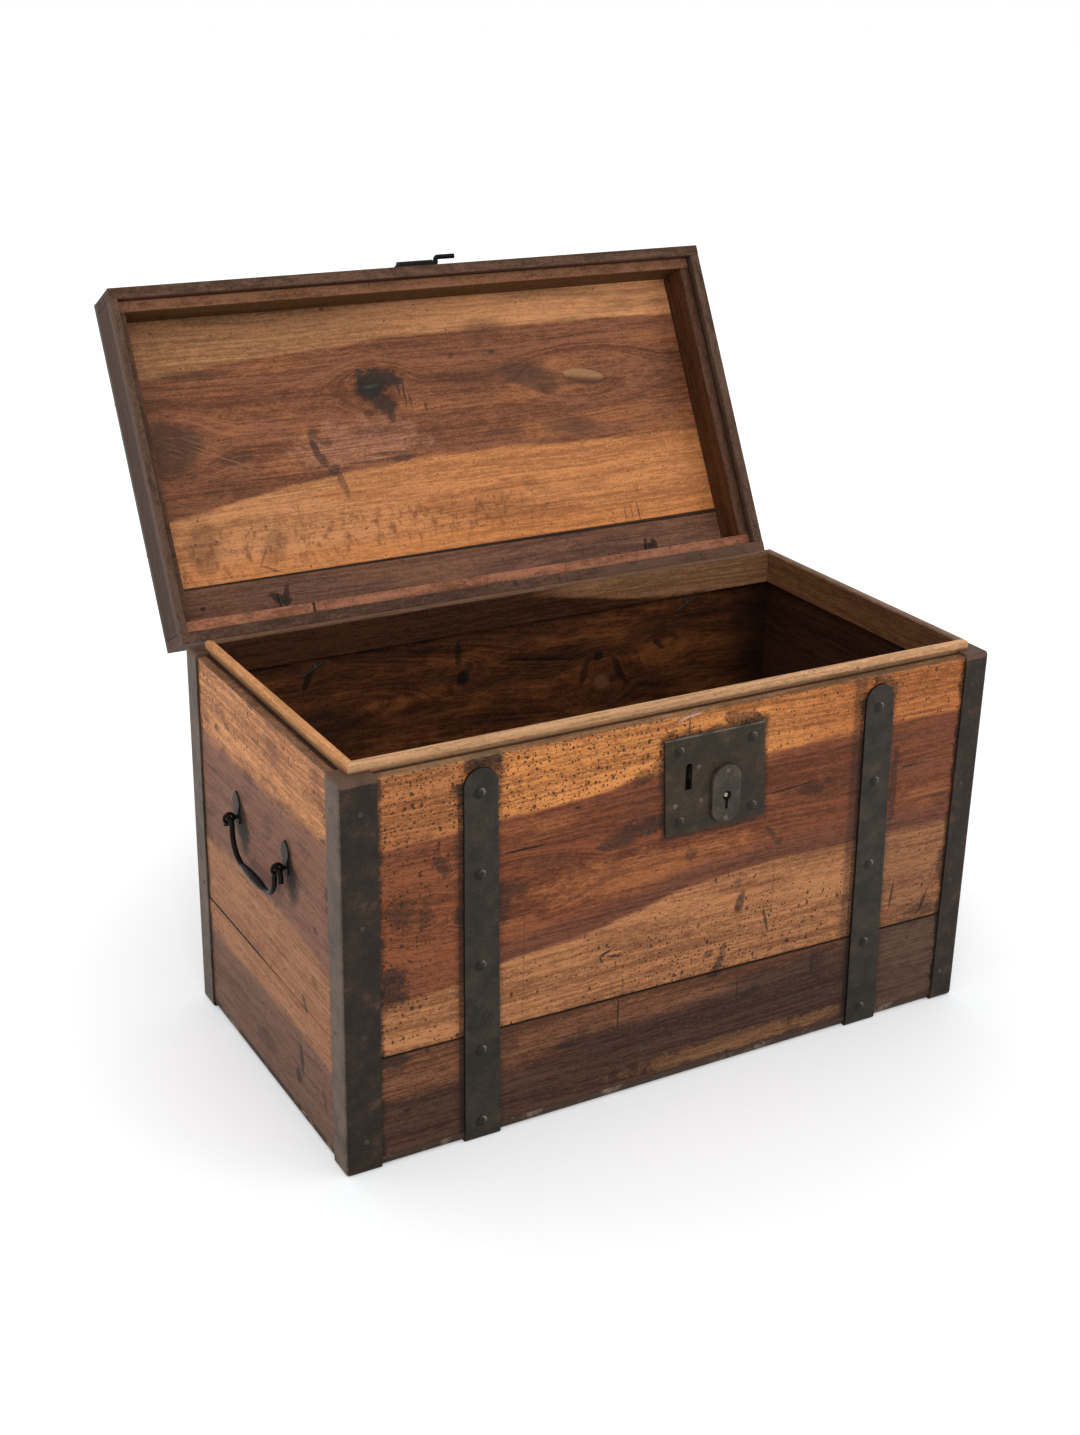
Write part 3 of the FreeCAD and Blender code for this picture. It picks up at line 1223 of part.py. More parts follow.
def handle_hardware(name, side):
    """Two eyes through the end board, each over a pointed leaf plate."""
    surface = half_width * side
    pivot = (half_width + handle_out) * side
    eyes = []
    for spot_name, (depth, height) in zip(("front", "back"), handle_spots):
        eye = loop(f"{name}_{spot_name}_ring", handle_ring, handle_wire, ALONG_X, as_size(90),
                   (pivot, depth, height))
        inside = inner_width * side
        shank_length = handle_out - handle_ring + wall + clench_wire
        shank = rod(f"{name}_{spot_name}_shank", shank_radius, shank_length, ALONG_Y, as_size(90 * -side),
                    ((half_width + handle_out - handle_ring) * side, depth, height))
        ends = []
        for end_name, turn in (("up", 0), ("down", 180)):
            ends.append(rod(f"{name}_{spot_name}_end_{end_name}", clench_wire, handle_clench, ALONG_X,
                            as_size(turn), (inside - clench_wire * side, depth, height)))
        eyes.append(joined(f"{name}_{spot_name}_eye", [eye, shank] + ends))
    leaves = new_body(f"{name}_leaf_plates")
    low, high = (surface - leaf_metal, surface) if side < 0 else (surface, surface + leaf_metal)
    for spot_name, (depth, height) in zip(("front", "back"), handle_spots):
        pad(leaves, f"{name}_{spot_name}_leaf", "YZ_Plane", low, high,
            lambda sketch: polygon(sketch, leaf_outline(depth, height)))
    drill(leaves, f"{name}_leaf_holes", "YZ_Plane", low, high, handle_spots, shank_radius + nail_fit)
    return [group(f"{name}_handle_eyes", eyes), leaves]


def bail(name, side):
    """The hanging handle: a bar through both eyes, its ends turned down outside them."""
    body = new_body(f"{name}_bail")
    level = (half_width + handle_out) * side
    front, back = handle_spots[0][0], handle_spots[1][0]
    base = handle_height - bail_drop
    hook = handle_height - bail_hook
    section = sketch_on(body, f"{name}_bail_section", "XY_Plane", hook)
    circle(section, (level, front - bail_outside), bail_wire)
    path = sketch_on(body, f"{name}_bail_route", "YZ_Plane", level)
    route(path, [
        (front - bail_outside, hook), (front - bail_outside, handle_height),
        (front + bail_inside, handle_height), (front + bail_inside, base),
        (back - bail_inside, base), (back - bail_inside, handle_height),
        (back + bail_outside, handle_height), (back + bail_outside, hook)],
        [bail_bend, bail_bend, bail_corner, bail_corner, bail_bend, bail_bend])
    bar = body.newObject("PartDesign::AdditivePipe", f"{name}_bail_bar")
    bar.Profile = section
    bar.Spine = (path, [])
    grip = sketch_on(body, f"{name}_grip_outline", "YZ_Plane", level, base)
    start, end = front + bail_inside + bail_corner, back - bail_inside - bail_corner
    half_span = (end - start) / 2
    swell = bail_grip - bail_wire
    arch = (half_span * half_span + swell * swell) / (swell * 2)
    slim = bail_wire - 0.05
    lines = []
    corners = [(start, slim), (start, as_size(0)), (end, as_size(0)), (end, slim)]
    for first, second in zip(corners, corners[1:]):
        segment = Part.LineSegment(flat_vector(first), flat_vector(second))
        lines.append(grip.addGeometry(segment, False))
        hold_point(grip, lines[-1], 1, first)
    hold_point(grip, lines[-1], 2, corners[-1])
    for first, second in zip(lines, lines[1:]):
        grip.addConstraint(Sketcher.Constraint("Coincident", first, 2, second, 1))
    top = FreeCAD.Vector((start.number + end.number) / 2, slim.number + swell.number, 0)
    bulge = Part.Arc(flat_vector(corners[-1]), top, flat_vector(corners[0]))
    curve = grip.addGeometry(bulge, False)
    grip.addConstraint(Sketcher.Constraint("Coincident", curve, 1, lines[-1], 2))
    grip.addConstraint(Sketcher.Constraint("Coincident", curve, 2, lines[0], 1))
    hold(grip, "DistanceY", curve, 3, slim + swell - arch)
    turned = body.newObject("PartDesign::Revolution", f"{name}_grip")
    turned.Profile = grip
    turned.ReferenceAxis = (grip, ["H_Axis"])
    turned.Angle = 360
    return body


# --- assembly -------------------------------------------------------------------------

nodes += front_boards() + back_boards()
nodes += end_boards("left", -1) + end_boards("right", 1)
nodes += bottom_boards()
nodes += [lip_strip("front_lip", "x", -1), lip_strip("back_lip", "x", 1)]
nodes += [lip_strip("left_lip", "y", -1), lip_strip("right_lip", "y", 1)]
nodes.append(corner_iron("front_left_iron", -1, -1, iron_front_leg))
nodes.append(corner_iron("front_right_iron", 1, -1, iron_narrow_leg))
nodes.append(corner_iron("back_left_iron", -1, 1, iron_front_leg))
nodes.append(corner_iron("back_right_iron", 1, 1, iron_front_leg))
nodes.append(strap("left_strap", left_strap_head, left_strap_foot, left_strap_spots))
nodes.append(strap("right_strap", right_strap_head, right_strap_foot, right_strap_spots))
nodes += nails()
nodes += [lock_plate(), keyhole_cover(), lock_case()] + lock_rivets() + lock_works()
nodes.append(group("chest_hinge_eyes", [chest_eye("left", hinge_left), chest_eye("right", hinge_right)]))
nodes += handle_hardware("left", -1) + handle_hardware("right", 1)
nodes += [bail("left", -1), bail("right", 1)]

lid_nodes = lid_boards() + lid_frame() + [lid_nails()] + hinge_plate() + [hasp_pin()]
lid_nodes.append(group("lid_hinge_eyes", [lid_eye("left", hinge_left), lid_eye("right", hinge_right)]))
for piece in lid_nodes:
    on_lid(piece)
hasp_nodes = hasp()
for piece in hasp_nodes:
    on_hasp(piece)
nodes += lid_nodes + hasp_nodes

doc.recompute()

# --- checks and export ----------------------------------------------------------------

for thing in doc.Objects:
    if "Invalid" in thing.State or "Error" in thing.State:
        raise RuntimeError(f"{thing.Label} did not build: {thing.State}")
    if thing.TypeId == "PartDesign::Pocket" and thing.BaseFeature is not None:
        if thing.BaseFeature.Shape.Volume - thing.Shape.Volume < 0.001:
            raise RuntimeError(f"{thing.Label} cuts nothing")

os.makedirs("parts", exist_ok=True)
for node in nodes:
    shape = node.Shape
    if shape.isNull() or not shape.isValid() or not shape.Solids:
        raise RuntimeError(f"{node.Label} has no valid solid")
    shape.exportStep(f"parts/{node.Label}.step")
print(len(nodes), "sub-parts written")
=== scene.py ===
# %% [markdown]
# # A wooden storage chest with forged iron fittings
# The chest is made of wide old boards, nailed at the corners under iron
# angles, with two iron straps, a lock plate, a hasp, drop handles and a
# framed lid that swings on linked iron rings.
#
# The shapes of the parts come from a packed model. This file gives them
# their finishes, adds the worn edges, and sets the light and the camera.
# Each code cell is short and prints what it made.

# %% Load the packed model
import json
import math
import bmesh
import bpy
from mathutils import Matrix, Vector


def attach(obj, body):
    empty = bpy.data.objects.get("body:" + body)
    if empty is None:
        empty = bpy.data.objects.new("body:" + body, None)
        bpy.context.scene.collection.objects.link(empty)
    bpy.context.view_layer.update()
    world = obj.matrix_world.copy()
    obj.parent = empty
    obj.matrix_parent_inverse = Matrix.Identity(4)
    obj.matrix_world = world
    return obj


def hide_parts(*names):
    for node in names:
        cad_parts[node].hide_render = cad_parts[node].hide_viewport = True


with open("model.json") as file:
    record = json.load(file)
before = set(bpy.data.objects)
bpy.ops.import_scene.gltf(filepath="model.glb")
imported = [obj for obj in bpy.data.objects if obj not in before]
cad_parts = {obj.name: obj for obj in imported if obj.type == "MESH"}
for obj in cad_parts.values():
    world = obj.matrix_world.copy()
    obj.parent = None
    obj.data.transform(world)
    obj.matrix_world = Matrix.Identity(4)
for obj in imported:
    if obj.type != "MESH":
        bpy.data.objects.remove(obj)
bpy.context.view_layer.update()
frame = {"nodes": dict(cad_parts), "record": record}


def placed(name, data):
    """A new object of the scene, with a mesh, a lamp or a camera as its data."""
    made = bpy.data.objects.new(name, data)
    bpy.context.scene.collection.objects.link(made)
    return made


# %% [markdown]
# ## Camera
# A camera is a place, a direction and a lens. The direction is given here as
# the three axes of the camera itself: its right, its up, and the way back.
# The sensor width belongs to the longer side of the picture.

# %% The camera
SENSOR = 36.0
PICTURE = (1080, 1435)
FOCAL = 1950.1
EYE = Vector((-1.06621, -1.74787, 1.20525))
RIGHT = Vector((0.87098, -0.49097, 0.01842))
DOWN = Vector((-0.17268, -0.34100, -0.92407))
FORWARD = Vector((0.45997, 0.80166, -0.38179))

camera_data = bpy.data.cameras.new("studio_camera")
camera_data.sensor_width = SENSOR
camera_data.lens = SENSOR * FOCAL / max(PICTURE)
camera_data.clip_start, camera_data.clip_end = 0.05, 60.0
camera = placed("studio_camera", camera_data)
turn = Matrix((RIGHT, -DOWN, -FORWARD)).transposed().to_4x4()
camera.matrix_world = Matrix.Translation(EYE) @ turn
bpy.context.scene.camera = camera
print("lens", round(camera_data.lens, 2), "mm")

# %% [markdown]
# ## Writing shader maths as sums
# A material in Blender is a net of nodes. Clicking hundreds of Math nodes
# together would hide what they mean, so one small class wraps a socket and
# turns `a * 2 + b` into the Math nodes that do it. Numbers use Math nodes,
# vectors use Vector Math, and colours use Mix, because a Math node would
# turn a colour grey.

# %% A socket that can be used in sums
class Wire:
    """One socket of a finish. A sum with it adds the nodes that work it out."""

    def __init__(self, finish, socket):
        self.finish, self.socket = finish, socket

    def join(self, operation, other, swapped=False):
        pair = (other, self) if swapped else (self, other)
        kinds = {w.socket.type for w in pair if isinstance(w, Wire)}
        if "RGBA" in kinds:
            settings = {"data_type": "RGBA", "blend_type": operation}
            return self.finish.node("Mix", settings, 1.0, *pair)
        kind = "VectorMath" if "VECTOR" in kinds else "Math"
        return self.finish.node(kind, {"operation": operation}, *pair)

    def __add__(self, other):
        return self.join("ADD", other)

    def __sub__(self, other):
        return self.join("SUBTRACT", other)

    def __rsub__(self, other):
        return self.join("SUBTRACT", other, swapped=True)

    def __mul__(self, other):
        return self.join("MULTIPLY", other)

    def __truediv__(self, other):
        return self.join("DIVIDE", other)

    def __rtruediv__(self, other):
        return self.join("DIVIDE", other, swapped=True)

    __radd__ = __add__
    __rmul__ = __mul__

    def least(self, other):
        return self.join("MINIMUM", other)

    def most(self, other):
        return self.join("MAXIMUM", other)

    def size(self):
        return self.finish.node("Math", {"operation": "ABSOLUTE"}, self)


print("a Wire takes", [name for name in vars(Wire) if name.startswith("__r")])

# %% [markdown]
# A finish is one material being made. Its `node` method makes any node: the
# settings go in first, because some of them change which sockets there are.

# %% A material being made
class Finish:
    """A material under construction, with the helpers that its maths needs."""

    def __init__(self, name):
        self.material = bpy.data.materials.new(name)
        self.material.use_nodes = True
        self.tree = self.material.node_tree
        self.tree.nodes.clear()

    def node(self, kind, settings, *values, out=0, **named):
        made = self.tree.nodes.new("ShaderNode" + kind)
        for key, value in settings.items():
            if key == "points":
                set_points(made.mapping, value)
            else:
                setattr(made, key, value)
        sockets = [s for s in made.inputs if s.enabled]
        by_name = {s.name.replace(" ", "_"): s for s in sockets}
        for key, value in [*enumerate(values), *named.items()]:
            socket = sockets[key] if isinstance(key, int) else by_name[key]
            if isinstance(value, Wire):
                self.tree.links.new(value.socket, socket)
            elif value is not None:
                socket.default_value = fitted(value, socket)
        outputs = [s for s in made.outputs if s.enabled]
        return Wire(self, outputs[out]) if outputs else None


def set_points(mapping, points):
    """The points of a float curve, each (in, out) from 0 to 1."""
    curve = mapping.curves[0]
    while len(curve.points) < len(points):
        curve.points.new(0.5, 0.5)
    for point, place in zip(curve.points, points):
        point.location = place
    mapping.update()


def fitted(value, socket):
    """A number or colour in the length that the socket takes."""
    if socket.type == "VECTOR" and isinstance(value, (int, float)):
        return (value,) * 3
    if socket.type == "RGBA":
        rgb = (value,) * 3 if isinstance(value, (int, float)) else value
        return (*rgb, 1.0)
    return value


print("shader helpers ready")

# %% [markdown]
# ## Measures of the chest
# A finish changes where a board ends or a face turns a corner, so it has to
# know a few measures of the chest. They are in metres, with x to the right,
# y to the back and z up. The box is the same left and right and front and
# back, so half its width and half its depth are enough.

# %% The measures that the finishes use
HALF_WIDTH, HALF_DEPTH = 0.3975, 0.2060
LEDGE = 0.4420
BEAD_X, BEAD_Y = 0.3735, 0.1820
PLATE_TOP, STRAP_FACE = 0.4170, -0.2090
HINGE = (0.2132, 0.4380)
TURN = math.radians(118.0)
LID_FRONT, LID_SEAM, STRIP_FACE = -0.4192, -0.0762, 0.0178
print("box", 2 * HALF_WIDTH, "by", 2 * HALF_DEPTH, "m, ledge at", LEDGE)

# %% [markdown]
# ## Small tools of the finisher
# Everything on the chest is painted in its own metres: a stain that is 20 mm
# wide is written as 0.020. The lid stands open, but it is painted as if it
# were shut, with y and z counted from the hinge line, because its boards are
# square to those axes. Painting by place needs no unwrapped surface, and the
# grain runs on from one face of a board to the next as in real wood. Each
# tool adds its nodes to the finish of the wires that it is given.

# %% Places and noise
def places(f):
    """x, y and z of a surface point, in metres, as the model has it at rest."""
    where = f.node("TexCoord", {}, out=3)
    split = f.node("SeparateXYZ", {}, where)
    sockets = split.socket.node.outputs
    return [Wire(f, s) for s in sockets]


def lid_places(f):
    """The same for the lid, measured as if it were shut, from its hinge line."""
    x, y, z = places(f)
    y, z = y - HINGE[0], z - HINGE[1]
    c, s = math.cos(TURN), math.sin(TURN)
    return [x, y * c - z * s, y * s + z * c]


def noise(x, y, z, detail=2.0, rough=0.5):
    """A cloudy value round 0.5, one cloud to each unit of x, y and z."""
    where = x.finish.node("CombineXYZ", {}, x, y, z)
    return x.finish.node("TexNoise", {}, where, Scale=1.0, Detail=detail, Roughness=rough)


def smooth(value, low, high, start=0.0, end=1.0):
    """From start to end as value goes from low to high, with soft ends."""
    low, high, start, end = (
        (low, high, start, end) if low <= high else (high, low, end, start))
    return value.finish.node("MapRange", {"interpolation_type": "SMOOTHSTEP"},
                             value, low, high, start, end)


def mix(first, second, share):
    """A colour that goes from first to second as share goes from 0 to 1."""
    return share.finish.node("Mix", {"data_type": "RGBA"}, share, first, second)


def coats(colour, *layers):
    """Lays (colour, share) layers over a colour, one after the other."""
    for layer, share in layers:
        colour = mix(colour, layer, share)
    return colour


print("the lid is painted", round(math.degrees(TURN)), "degrees back, shut")

# %% [markdown]
# Marks of age are drawn from a few places and sizes. A blot is an ellipse
# whose edge a noise makes ragged, a course is a curve through a few points,
# and worm holes are the cells of a Voronoi pattern, of which only a share
# has a hole. Numbers like these are quick to move, and need no picture. The
# long tables of blots are in millimetres, which are shorter to read.

# %% Blots, lines and worm holes
def blot(x, z, middle, reach, ragged=0.0, tilt=0.0, solid=0.35):
    """1 inside an ellipse, fading to 0 at its edge, which ragged unsettles."""
    c, s = math.cos(math.radians(tilt)), math.sin(math.radians(tilt))
    dx, dz = x - middle[0], z - middle[1]
    u = (dx * c + dz * s) / reach[0]
    v = (dz * c - dx * s) / reach[1]
    return smooth(u * u + v * v + ragged, 1.2, solid)


def blots(x, z, ragged, spots):
    """The strongest of many blots, each with its place and its two reaches
    in millimetres, its tilt in degrees and its strength from 0 to 1."""
    total = 0.0
    for *sizes, tilt, strength in spots:
        u, v, wide, high = (size / 1000.0 for size in sizes)
        one = blot(x, z, (u, v), (wide, high), ragged, tilt, 0.30) * strength
        total = one.most(total)
    return total


def course(along, points):
    """The height of a line that goes through a few (along, height) points."""
    xs, ys = [p[0] for p in points], [p[1] for p in points]
    x0, x1 = min(xs), max(xs)
    y0, y1 = min(ys), max(ys) + 1e-6
    scaled = [((a - x0) / (x1 - x0), (b - y0) / (y1 - y0)) for a, b in points]
    value = along.finish.node("FloatCurve", {"points": scaled}, 1.0,
                              (along - x0) / (x1 - x0))
    return value * (y1 - y0) + y0


def near(value, target, width):
    """1 where value is at the target, 0 from a width away."""
    return smooth((value - target).size(), width, width * 0.4)


def worm_holes(u, v, pitch, size, share, seed):
    """Holes a pitch apart, of about a size in radius, in a share of the cells."""
    f = u.finish
    wobble = noise(u * 700.0 + seed, v * 700.0, seed, 1.0) - 0.5
    where = f.node("CombineXYZ", {}, u / pitch + seed, v / pitch + seed, 0.0)
    cell = f.node("TexVoronoi", {"voronoi_dimensions": "2D"}, where, Scale=1.0)
    sockets = cell.socket.node.outputs
    draw = f.node("SeparateColor", {}, Wire(f, sockets["Color"]))
    green = Wire(f, draw.socket.node.outputs[1])
    radius = (green * green * 1.1 + 0.45) * (size / pitch)
    edge = smooth(cell / radius + wobble * 0.9, 1.25, 0.75)
    return edge * smooth(draw - share, 0.0, -0.02)


print("finishing tools ready")

# %% [markdown]
# ## Old wood
# The boards are an old softwood. Its figure is the section of growth rings:
# long lines along the board that sway, part round knots, and show light and
# dark bands. The figure is made of noises stretched along the grain: wide
# bands, growth lines, short streaks and fine fibre. Where there is a knot,
# the place across the board is pulled aside before the noises are read, so
# that the lines flow round it.

# %% The figure of a board
def figure(along, across, deep, seed, knots=(), slope=0.0, swing=0.034):
    """Tone from 0, dark, to 1, light, and the height of the open grain."""
    sway = noise(along * 2 + seed, across * 6, deep * 4, 2) - 0.5
    bent = across + along * slope + sway * swing
    for middle, reach, pull in knots:
        u, v = (along - middle[0]) / reach[0], (across - middle[1]) / reach[1]
        close = smooth(u * u + v * v, 2.6, 0.0)
        bent = bent - (across - middle[1]) * close * pull
    bands = noise(along * 1.3 + seed, bent * 36, deep * 16, 3, 0.6)
    lines = noise(along * 7 + seed, bent * 330, deep * 60, 3, 0.65)
    streak = noise(along * 60 + seed, across * 240, deep * 160, 3, 0.65)
    grain = noise(along * 270 + seed, across * 640, deep * 400, 3, 0.7)
    tone = bands * 0.6 + lines * 0.8 + streak * 0.6 + grain * 0.8
    height = lines * 0.0003 + grain * 0.0005 + streak * 0.0002
    return smooth(tone, 1.18, 1.62), height


def shades(colour, tone, spread=0.42):
    """A colour that tone takes from darker and redder to lighter."""
    red, green, blue = colour
    dark = (red * (1 - spread), green * (1 - spread * 1.12),
            blue * (1 - spread * 1.2))
    light = [c * (1 + spread * 0.75) for c in colour]
    return mix(dark, light, tone)


print("grain and shades ready")

# %% [markdown]
# The wood was waxed long ago and has been rubbed since. It is not shiny, so
# one shader with a weak, rough reflection is enough. The open grain is a
# bump, because it is far too fine to be modelled. The iron takes the same
# shader with other values.

# %% The shader of wood and iron
WAX = 0.14


def surface(f, colour, height, dull, gloss=WAX, ior=1.45, metal=0.0):
    """One shader over a bump. dull is its roughness, gloss how it mirrors."""
    bump = f.node("Bump", {}, Strength=1.0, Distance=1.0, Height=height)
    shader = f.node("BsdfPrincipled", {}, Base_Color=colour, Roughness=dull,
                    Normal=bump, IOR=ior, Specular_IOR_Level=gloss, Metallic=metal)
    f.node("OutputMaterial", {}, shader)
    return f.material


print("wax reflects", WAX)

# %% [markdown]
# Boards that have been handled for a century have no sharp edges left. Each
# wooden piece is copied, its long edges are rounded over by about one
# millimetre, and the copy takes the place of the packed piece. The edge is
# real geometry, so it catches the light from every side.

# %% Softened wood
WOOD_ROUND, IRON_ROUND = 0.0011, 0.0006
SHARP_ANGLE, SHORTEST = 1.2, 0.02
record = frame["record"]
body_of = {node: body for body, nodes in record["behaviour"]["bodies"].items()
           for node in nodes}


def welded(name):
    """The shape of a packed node, with the points that coincide made one."""
    shape = bmesh.new()
    shape.from_mesh(frame["nodes"][name].data)
    bmesh.ops.remove_doubles(shape, verts=shape.verts, dist=1e-6)
    return shape


def softened(name, width):
    """A copy of a packed node with its long sharp edges rounded over."""
    shape = welded(name)
    bmesh.ops.dissolve_limit(shape, angle_limit=0.01, verts=shape.verts,
                             edges=shape.edges)
    sharp = [e for e in shape.edges if e.is_manifold
             and e.calc_face_angle() > SHARP_ANGLE and e.calc_length() > SHORTEST]
    bmesh.ops.bevel(shape, geom=sharp, offset=width, segments=2, profile=0.6,
                    affect="EDGES", clamp_overlap=True)
    mesh = bpy.data.meshes.new(name + "_soft")
    shape.to_mesh(mesh)
    shape.free()
    piece = placed(name + "_soft", mesh)
    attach(piece, body_of[name])
    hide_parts(name)
    return piece


print("edges longer than", SHORTEST, "m are rounded")

# %% [markdown]
# Wood is always softened. Of the ironwork only the large flat pieces are;
# the others keep their packed mesh and only take the new material.

# %% Giving out materials
def dress(names, material):
    """Gives a material to softened copies of the named wooden nodes."""
    for name in names:
        softened(name, WOOD_ROUND).data.materials.append(material)
    print(material.name, "on", len(names), "pieces")


CORNER_IRONS = ["front_left_iron", "front_right_iron", "back_left_iron",
                "back_right_iron"]
ROUNDED_IRONS = {*CORNER_IRONS, "left_strap", "right_strap", "lock_plate",
                 "keyhole_cover"}


def plate(names, material):
    """Gives a material to ironwork; the large flat irons get worn edges."""
    for name in names:
        if name in ROUNDED_IRONS:
            softened(name, IRON_ROUND).data.materials.append(material)
            continue
        mesh_object = frame["nodes"][name]
        for slot in mesh_object.material_slots:
            slot.material = material
        if not mesh_object.material_slots:
            mesh_object.data.materials.append(material)
    print(material.name, "on", len(names), "nodes")


# %% [markdown]
# ## The front boards
# The wide upper board shows pale sapwood along both edges and red heartwood
# between them. The sapwood is full of worm holes. The iron has stained the
# wood round it black, as it does in damp oak or cedar, and a narrow painted
# shadow line runs along the edges of the straps. The borders are curves
# through a few points, since a noise alone would put them anywhere.

# %% Tones of dirt, iron stain and painted shade
# Iron stain, also used for the painted shadow beside the straps.
STAIN_AND_SHADE = (0.018, 0.012, 0.009)
# Dark dirt, also used for the painted shade in the crease of the lid's frame.
DIRT_AND_SHADE = (0.014, 0.008, 0.005)
# Black dirt, also used for painted shade at nail heads and on the sides of the straps.
BLACK_SHADE_AND_DIRT = (0.006, 0.004, 0.003)
END_GREY = (0.075, 0.052, 0.04)


def torn_edge(cloud, fine):
    """Two noises, coarse and fine, as the unrest of the edge of a blot."""
    return (cloud - 0.5) * 3 + (fine - 0.5) * 1.6


def tones(tone, first, *layers):
    """Wood in shades, with coats of other shades: (colour, spread, share)."""
    return coats(shades(first[0], tone, first[1]),
                 *((shades(colour, tone, spread), share)
                   for colour, spread, share in layers))


def iron_stain_and_shadow(x, z, cloud):
    """The dark halo beside the irons, straps and plate of the front: stain of the iron,
    with a narrow painted shadow line along both edges of each strap.
    """
    edge = (cloud - 0.5) * 0.03
    left = smooth(x + edge * 0.7, -0.353, -0.358)
    right = smooth(x + edge * 0.7, 0.3615, 0.366)
    half = 0.021 - z * 0.0052
    beside = ((x + 0.2447 + z * 0.0128).size() - half).least(
        (x - 0.2573 + z * 0.0278).size() - half)
    # Painted shadow: a narrow dark line beside both edges of each strap.
    strap = smooth(beside, 0.0046, 0.003)
    strap = strap.most(smooth(beside + edge * 0.5, 0.011, 0.001) * 0.6)
    strap = strap * smooth(z, 0.42, 0.414)
    tab = smooth((x + 0.245).size() + edge * 0.1, 0.0225, 0.02)
    strap = strap.most(tab * smooth(z + edge * 0.1, 0.424, 0.43) * 0.8)
    band = near(x + edge * 0.4, 0.232 - z * 0.0225, 0.0125) * 0.7
    band = band * smooth(z, 0.105, 0.14)
    outside = ((x - 0.052 + z * 0.054).size() - 0.063).most(
        (z - 0.361).size() - 0.0555)
    lock = smooth(outside + edge * 0.7, 0.0095, 0.002) * 0.92
    return left.most(right).most(strap).most(band).most(lock)


FRONT_SEAM = ((-0.4, 0.131), (0.4, 0.117))
print("the front's joint falls", round(FRONT_SEAM[0][1] - FRONT_SEAM[1][1], 4), "m")

# %% Marks of the upper front board
FRONT_MARKS = (
    (-345, 208, 19, 27, 0, 1), (-214, 286, 22, 20, 0, 0.75),
    (-332, 290, 22, 20, 20, 0.7), (-309, 283, 9, 18, 0, 0.6),
    (-286, 330, 9, 17, 25, 0.85), (-297, 345, 4, 14, -12, 0.6),
    (-56, 322, 48, 13, 5, 0.9), (-85, 312, 30, 8, 0, 0.8), (-56, 381, 16, 11, 30, 0.7),
    (-40, 390, 8, 9, 0, 0.6), (66, 424, 26, 8, -10, 0.8), (50, 430, 10, 7, 0, 0.8),
    (165, 322, 20, 8, 0, 0.75), (186, 327, 7, 6, 0, 0.7), (112, 280, 4, 16, 40, 0.75),
    (123, 267, 7, 6, 0, 0.8), (76, 203, 5.5, 16, -14, 0.95), (72, 226, 6, 8, 0, 0.45),
    (53, 136, 7, 20, -20, 0.95), (38, 148, 8, 5, 20, 0.8), (366, 188, 12, 22, 0, 0.9),
    (345, 130, 36, 8, -3, 0.8), (-247.8, 414, 30, 30, 0, 0.9),
    (-242, 436.5, 23, 8, 0, 1), (248, 414, 28, 27, 0, 0.9), (279, 305, 6, 60, 0, 0.8),
    (-270, 270, 7, 16, 0, 0.8), (-219, 275, 10, 30, 0, 0.8), (8, 278, 8, 8, 0, 0.5),
    (8, 192, 6, 20, 0, 0.3), (190, 235, 60, 5, 0, 0.3), (350, 270, 14, 10, 0, 0.4))
FRONT_SCORES = (
    (-196, 330, 26, 1.3, 0, 1), (135, 329, 32, 1.2, 3, 0.9),
    (300, 322.5, 14, 1.2, 0, 0.8), (292, 160, 1.6, 20, -6, 0.85),
    (340, 140, 2.2, 18, -22, 0.8), (113, 172, 1.8, 17, 14, 0.8),
    (-95, 184, 11, 1.6, 20, 0.9), (-84, 177.5, 10, 1.5, -8, 0.9),
    (-101, 177, 1.5, 6, 20, 0.8), (-135, 363, 4, 1.8, 0, 0.9),
    (-195, 205, 0.6, 75, 0, 0.35), (120, 215, 0.6, 40, 0, 0.4), (-2, 428, 1, 14, 0, 0.8),
    (145, 137.5, 3, 2.2, 0, 0.9))
FRONT_CHIPS = (
    (0, 439, 16, 1.7, 8, 1), (-10, 437, 8, 1.3, 14, 0.8))
print("front marks", len(FRONT_MARKS), "and scores", len(FRONT_SCORES))

# %% [markdown]
# The upper board is built in three steps: its noises and the curves between
# sapwood and heartwood, then the tones of each zone, and last the marks that
# lie over all of them.

# %% The zones of the upper front board
f = Finish("front_upper_wood")
x, y, z = places(f)
cloud = noise(x * 45, y * 10, z * 60, 4, 0.62)
patch = noise(x * 7, y * 10, z * 30, 3, 0.6)
fine = noise(x * 220, y * 10, z * 320, 3, 0.7)
ripple = (noise(x * 16, y, z * 60, 3) - 0.5) * 0.01
ragged = torn_edge(cloud, fine)
front_knots = (((-0.205, 0.283), (0.08, 0.03), 1.55),
               ((-0.325, 0.287), (0.034, 0.026), 1.3),
               ((0.182, 0.321), (0.032, 0.012), 1.2))
tone, height = figure(x, z, y, 3, front_knots)
top_edge = course(x, ((-0.4, 0.362), (-0.22, 0.368), (-0.1, 0.374), (-0.03, 0.384),
                      (0.1, 0.376), (0.22, 0.381), (0.4, 0.378)))
low_edge = course(x, ((-0.4, 0.189), (-0.27, 0.192), (-0.22, 0.204), (-0.13, 0.212),
                      (-0.05, 0.226), (0.06, 0.244), (0.22, 0.243), (0.4, 0.24)))
in_top = smooth(z - top_edge + ripple, -0.003, 0.003)
in_low = smooth(low_edge - z + ripple, -0.0035, 0.0025)
print("grain parts round", len(front_knots), "knots")

